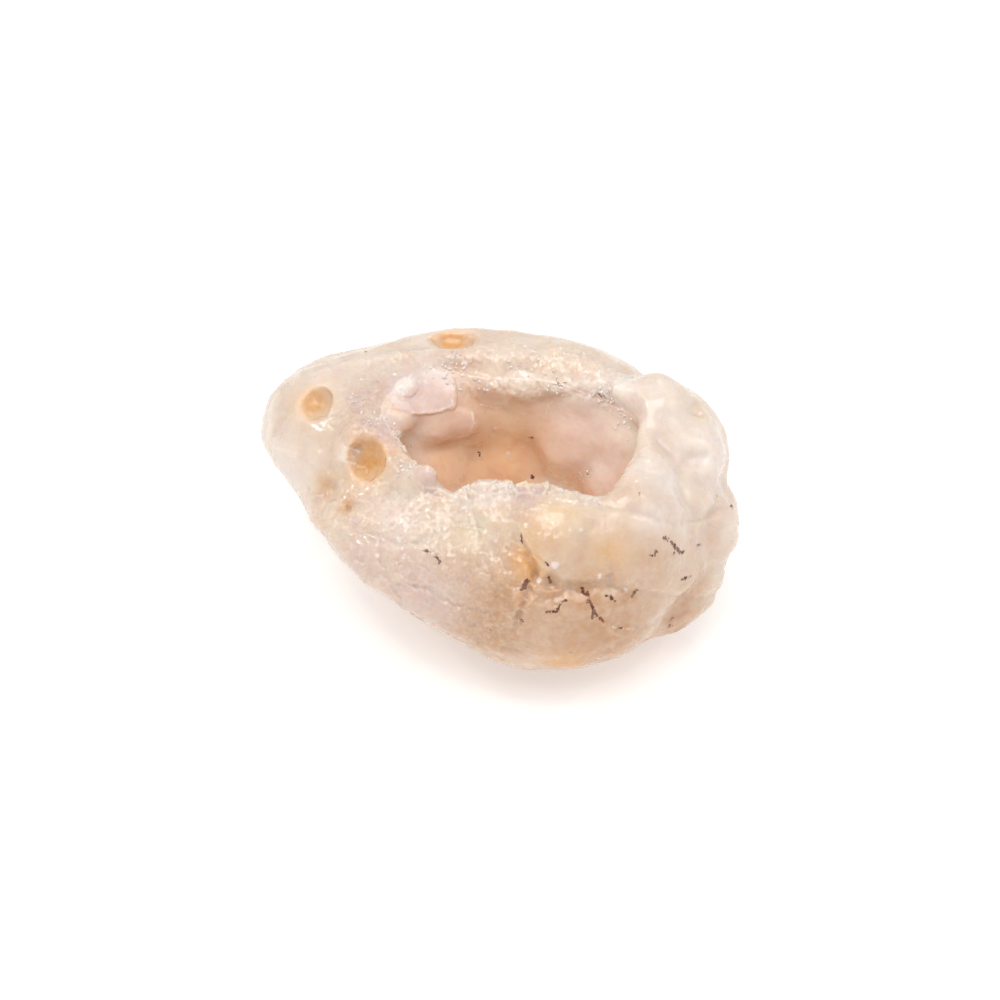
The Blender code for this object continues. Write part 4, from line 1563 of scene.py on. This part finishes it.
def chalcedony(name, speckle, height, facets, roughness, depth):
    """A waxy stone that light enters to a depth in millimetres."""
    settings = bpy.context.scene.geode_stone
    material, tree, shader = new_material(name)
    tints = add_node(tree, "ShaderNodeGroup", (-500, 200), node_tree=shared("chalcedony_tints", tint_group))
    for socket in TINTS:
        tints.inputs[socket].default_value = rgba(getattr(settings, socket.lower()))
    tints.inputs["Speckle"].default_value = speckle
    tree.links.new(tints.outputs["Colour"], shader.inputs["Base Color"])
    grain = add_node(tree, "ShaderNodeGroup", (-500, -300), node_tree=shared("stone_grain", grain_group))
    grain.inputs["Height"].default_value = height
    grain.inputs["Facets"].default_value = facets
    tree.links.new(grain.outputs["Normal"], shader.inputs["Normal"])
    place = add_node(tree, "ShaderNodeTexCoord", (-1100, -100)).outputs["Object"]
    glosses = (0.3, 0.7, roughness - 0.12, roughness + 0.1)
    gloss = add_clouds(tree, place, 2.5, 2.0, (-900, -100), glosses)
    sheen = add_range(tree, add_field(tree, "sugar", (-900, -700)), (-700, -700), (0.0, 1.0, 0.0, 0.16))
    gloss = add_math(tree, "SUBTRACT", gloss, sheen, (-500, -600))
    dull = add_math(tree, "MULTIPLY", tints.outputs["Flecks"], FLECK_DULLNESS, (-500, -800))
    tree.links.new(add_math(tree, "ADD", gloss, dull, (-300, -600)), shader.inputs["Roughness"])
    shader.inputs["IOR"].default_value = STONE_IOR
    border = add_field(tree, "border", (-900, -1000))
    solid = add_range(tree, border, (-700, -1000), (0.1, 0.9, 1.0, 0.0))
    tree.links.new(solid, shader.inputs["Subsurface Weight"])
    shader.inputs["Subsurface Radius"].default_value = STONE_GLOW
    shader.inputs["Subsurface Scale"].default_value = depth * MM
    return material


def quartz():
    """Clear to milky crystal with sharp gloss."""
    settings = bpy.context.scene.geode_stone
    material, tree, shader = new_material("druse_quartz")
    place = add_node(tree, "ShaderNodeTexCoord", (-1100, 0)).outputs["Object"]
    clouds = add_clouds(tree, place, 1.6, 2.0, (-900, 100), (0.35, 0.65, 0.0, 1.0))
    colour = add_mix(tree, clouds, rgba(settings.quartz), rgba(settings.milk), (-500, 200))
    stain = add_math(tree, "MULTIPLY", add_field(tree, "warm", (-900, -200)), 0.7, (-700, -200))
    colour = add_mix(tree, stain, colour, rgba(settings.warm), (-300, 200))
    tree.links.new(colour, shader.inputs["Base Color"])
    gloss = add_clouds(tree, place, 0.5, 1.0, (-900, -450), (0.3, 0.7, 0.12, 0.4))
    tree.links.new(gloss, shader.inputs["Roughness"])
    shader.inputs["IOR"].default_value = QUARTZ_IOR
    return material


# Crystals


def add_named_value(tree, name, place):
    """The values that a mesh keeps under a name, for Geometry Nodes."""
    made = add_node(tree, "GeometryNodeInputNamedAttribute", place, data_type="FLOAT")
    made.inputs["Name"].default_value = name
    return made.outputs["Attribute"]


def add_chance(tree, seed, number, limits, place):
    """A random vector between two limits for each crystal. The number sets it apart from the others."""
    made = add_node(tree, "FunctionNodeRandomValue", place, data_type="FLOAT_VECTOR")
    made.inputs["Min"].default_value, made.inputs["Max"].default_value = limits
    own = add_node(tree, "FunctionNodeIntegerMath", (place[0] - 200, place[1]), operation="ADD")
    tree.links.new(seed, own.inputs[0])
    own.inputs[1].default_value = number
    tree.links.new(own.outputs[0], made.inputs["Seed"])
    return made.outputs["Value"]


def crystal_tree():
    """Geometry Nodes that stand crystals on a surface where its druse values say so."""
    tree = bpy.data.node_groups.new("druse_crystals", "GeometryNodeTree")
    tree.interface.new_socket("Geometry", in_out="INPUT", socket_type="NodeSocketGeometry")
    for name, kind in (("Width", "Float"), ("Spacing", "Float"), ("Seed", "Int"), ("Material", "Material")):
        tree.interface.new_socket(name, in_out="INPUT", socket_type="NodeSocket" + kind)
    tree.interface.new_socket("Geometry", in_out="OUTPUT", socket_type="NodeSocketGeometry")
    given = add_node(tree, "NodeGroupInput", (-1200, 0)).outputs
    result = add_node(tree, "NodeGroupOutput", (1200, 0)).inputs
    points = add_node(
        tree, "GeometryNodeDistributePointsOnFaces", (-800, 100), distribute_method="POISSON"
    )
    tree.links.new(given["Geometry"], points.inputs["Mesh"])
    tree.links.new(given["Spacing"], points.inputs["Distance Min"])
    thick = add_named_value(tree, "druse", (-1200, -300))
    tree.links.new(thick, points.inputs["Density Factor"])
    tree.links.new(given["Seed"], points.inputs["Seed"])
    points.inputs["Density Max"].default_value = CRYSTAL_DENSITY
    cone = add_node(tree, "GeometryNodeMeshCone", (-800, -300))
    cone.inputs["Vertices"].default_value = CRYSTAL_SIDES
    cone.inputs["Radius Top"].default_value = CRYSTAL_TIP
    cone.inputs["Radius Bottom"].default_value = CRYSTAL_FOOT
    cone.inputs["Depth"].default_value = CRYSTAL_HEIGHT
    sunk = add_node(tree, "GeometryNodeTransform", (-600, -300))
    sunk.inputs["Translation"].default_value = (0.0, 0.0, -CRYSTAL_SUNK)
    tree.links.new(cone.outputs["Mesh"], sunk.inputs["Geometry"])
    lean = add_node(tree, "FunctionNodeEulerToRotation", (-400, -600))
    tree.links.new(add_chance(tree, given["Seed"], 1, CRYSTAL_LEAN, (-600, -600)), lean.inputs[0])
    turn = add_node(tree, "FunctionNodeRotateRotation", (-200, -400), rotation_space="LOCAL")
    tree.links.new(points.outputs["Rotation"], turn.inputs[0])
    tree.links.new(lean.outputs[0], turn.inputs[1])
    wide = add_named_value(tree, "crystal_width", (-800, -900))
    wide = add_math(tree, "MULTIPLY", wide, given["Width"], (-500, -900))
    size = add_node(tree, "ShaderNodeVectorMath", (-200, -800), operation="SCALE")
    tree.links.new(add_chance(tree, given["Seed"], 2, CRYSTAL_SCALE, (-600, -1100)), size.inputs[0])
    tree.links.new(wide, size.inputs["Scale"])
    stand = add_node(tree, "GeometryNodeInstanceOnPoints", (100, 100))
    tree.links.new(points.outputs["Points"], stand.inputs["Points"])
    tree.links.new(sunk.outputs[0], stand.inputs["Instance"])
    tree.links.new(turn.outputs[0], stand.inputs["Rotation"])
    tree.links.new(size.outputs[0], stand.inputs["Scale"])
    real = add_node(tree, "GeometryNodeRealizeInstances", (400, 100))
    tree.links.new(stand.outputs[0], real.inputs[0])
    painted = add_node(tree, "GeometryNodeSetMaterial", (700, 100))
    tree.links.new(real.outputs[0], painted.inputs["Geometry"])
    tree.links.new(given["Material"], painted.inputs["Material"])
    tree.links.new(painted.outputs[0], result["Geometry"])
    return tree


def druse_ground():
    """The faces of the skin and the lining on which crystals stand, as one mesh."""
    body = bmesh.new()
    for name in ("nodule_skin", "crust_lining"):
        body.from_mesh(bpy.data.objects[name].data)
    layer = body.verts.layers.float["druse"]
    bare = [face for face in body.faces if all(v[layer] < BARE_DRUSE for v in face.verts)]
    bmesh.ops.delete(body, geom=bare, context="FACES")
    return mesh_of(body, "druse_ground")


class GEODE_OT_stone(bpy.types.Operator):
    """Build the nodule's skin over the plain nodule"""

    bl_idname = "geode.stone"
    bl_label = "Build the nodule"

    def execute(self, context):
        bodies = (welded("geode_stone"), grown_crust(), crest_tube(), boss_domes())
        piece = fine_copy(bodies, "nodule_skin", context.scene.geode_stone.voxel, SKIN_ROUNDS)
        soften_rim(piece)
        mesh = piece.data
        surface = tree_of(mesh)
        refine_details(mesh, surface)
        triangulate(mesh)
        whole, sunk = shape_skin(corners_of(mesh), normals_of(mesh), surface)
        set_corners(mesh, sunk)
        for axis, name in enumerate(WHOLE_FIELDS):
            set_field(mesh, name, whole[:, axis])
        soften_pits(piece)
        mesh = piece.data
        paint_fields(mesh)
        mesh.shade_smooth()
        material = chalcedony("nodule_chalcedony", *SKIN_LOOK)
        finish_piece(piece, "pale_chalcedony", material, "geode_stone")
        return {"FINISHED"}


class GEODE_OT_lining(bpy.types.Operator):
    """Build the crystal crust in the hollow"""

    bl_idname = "geode.lining"
    bl_label = "Build the lining"

    def execute(self, context):
        bodies = (grown_crust(), boss_domes())
        piece = fine_copy(bodies, "crust_lining", context.scene.geode_stone.lining_voxel, LINING_ROUNDS)
        mesh = piece.data
        triangulate(mesh)
        skin_mesh = bpy.data.objects["nodule_skin"].data
        skin = tree_of(skin_mesh, take_whole(skin_mesh))
        set_corners(mesh, shape_lining(corners_of(mesh), normals_of(mesh), tree_of(mesh), skin))
        paint_fields(mesh)
        mesh.shade_smooth()
        material = chalcedony("crust_chalcedony", *LINING_LOOK)
        finish_piece(piece, "crystal_crust", material, "crystal_crust")
        return {"FINISHED"}


class GEODE_OT_druse(bpy.types.Operator):
    """Stand the small crystals on the rim of the hollow"""

    bl_idname = "geode.druse"
    bl_label = "Grow the crystals"

    def execute(self, context):
        settings = context.scene.geode_druse
        piece = bpy.data.objects.new("druse_crystals", druse_ground())
        context.scene.collection.objects.link(piece)
        material = quartz()
        growth = piece.modifiers.new("crystals", "NODES")
        growth.node_group = crystal_tree()
        items = growth.node_group.interface.items_tree
        sockets = {item.name: item.identifier for item in items if item.in_out == "INPUT"}
        growth[sockets["Width"]] = settings.width
        growth[sockets["Spacing"]] = settings.spacing
        growth[sockets["Seed"]] = settings.seed
        growth[sockets["Material"]] = material
        keep_shape(piece)
        finish_piece(piece, "crystal_crust", material)
        return {"FINISHED"}


class GEODE_OT_stage(bpy.types.Operator):
    """Build the floor, the soft light and the photograph's camera"""

    bl_idname = "geode.stage"
    bl_label = "Build the stage"

    def execute(self, context):
        settings = context.scene.geode_stage
        scene = context.scene
        scene.view_settings.view_transform = "Standard"
        bpy.ops.mesh.primitive_plane_add(size=FLOOR_SIDE)
        floor = context.object
        floor.name = "floor"
        material, _, shader = new_material("floor_paper")
        shader.inputs["Base Color"].default_value = rgba(settings.floor)
        shader.inputs["Roughness"].default_value = 0.9
        shader.inputs["Specular IOR Level"].default_value = 0.1
        shader.inputs["Emission Color"].default_value = (1.0, 1.0, 1.0, 1.0)
        shader.inputs["Emission Strength"].default_value = settings.glow
        floor.data.materials.append(material)
        floor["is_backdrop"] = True
        world = bpy.data.worlds.new("soft_sky")
        world.use_nodes = True
        sky = world.node_tree.nodes["Background"]
        sky.inputs["Color"].default_value = (1.0, 1.0, 1.0, 1.0)
        sky.inputs["Strength"].default_value = settings.sky
        scene.world = world
        soft_light("key_light", KEY_PLACE, KEY_SIDE, settings.key)
        for name, place in FILL_LIGHTS.items():
            soft_light(name, place, FILL_SIDE, settings.fill)
        for name, place in GLINT_LIGHTS.items():
            soft_light(name, place, GLINT_SIDE, settings.glint)
        camera = bpy.data.objects.new("photo_camera", bpy.data.cameras.new("photo_camera"))
        scene.collection.objects.link(camera)
        camera.location = camera_axes()[0] * MM
        camera.rotation_euler = (math.pi / 2.0 - CAMERA_TILT, 0.0, 0.0)
        camera.data.lens = LENS
        camera.data.sensor_width = SENSOR
        camera.data.clip_start = NEAREST_SHOWN
        scene.camera = camera
        return {"FINISHED"}


def soft_light(name, place, side, power):
    """A square soft light that faces the stone."""
    lamp = bpy.data.lights.new(name, "AREA")
    lamp.size = side
    lamp.energy = power
    light = bpy.data.objects.new(name, lamp)
    bpy.context.scene.collection.objects.link(light)
    light.location = place
    light.rotation_euler = (LIGHT_AIM - Vector(place)).to_track_quat("-Z", "Y").to_euler()


class GEODE_PT_panel(bpy.types.Panel):
    """The geode's steps in the sidebar"""

    bl_label = "Agate Geode"
    bl_space_type = "VIEW_3D"
    bl_region_type = "UI"
    bl_category = "Geode"

    def draw(self, context):
        for operator in (GEODE_OT_stone, GEODE_OT_lining, GEODE_OT_druse, GEODE_OT_stage):
            self.layout.operator(operator.bl_idname)


CLASSES = (
    GeodeStoneSettings,
    GeodeDruseSettings,
    GeodeStageSettings,
    GEODE_OT_stone,
    GEODE_OT_lining,
    GEODE_OT_druse,
    GEODE_OT_stage,
    GEODE_PT_panel,
)


def register():
    """Add the classes and their settings to Blender."""
    for made in CLASSES:
        bpy.utils.register_class(made)
    bpy.types.Scene.geode_stone = PointerProperty(type=GeodeStoneSettings)
    bpy.types.Scene.geode_druse = PointerProperty(type=GeodeDruseSettings)
    bpy.types.Scene.geode_stage = PointerProperty(type=GeodeStageSettings)


def unregister():
    """Take the classes and their settings out of Blender."""
    del bpy.types.Scene.geode_stone
    del bpy.types.Scene.geode_druse
    del bpy.types.Scene.geode_stage
    for made in reversed(CLASSES):
        bpy.utils.unregister_class(made)


def main():
    """Build the geode and its stage, and measure the boxes of the imported and the finished geode."""
    register()
    for old in [o for o in bpy.data.objects if o.type in ("CAMERA", "LIGHT")]:
        bpy.data.objects.remove(old)
    bpy.ops.geode.stone()
    bpy.ops.geode.lining()
    bpy.ops.geode.druse()
    bpy.ops.geode.stage()
    boxes = {"cad": CAD_BOX, "visual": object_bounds()}
    {name: [list(corner) for corner in box] for name, box in boxes.items()}


if __name__ == "__main__":
    main()
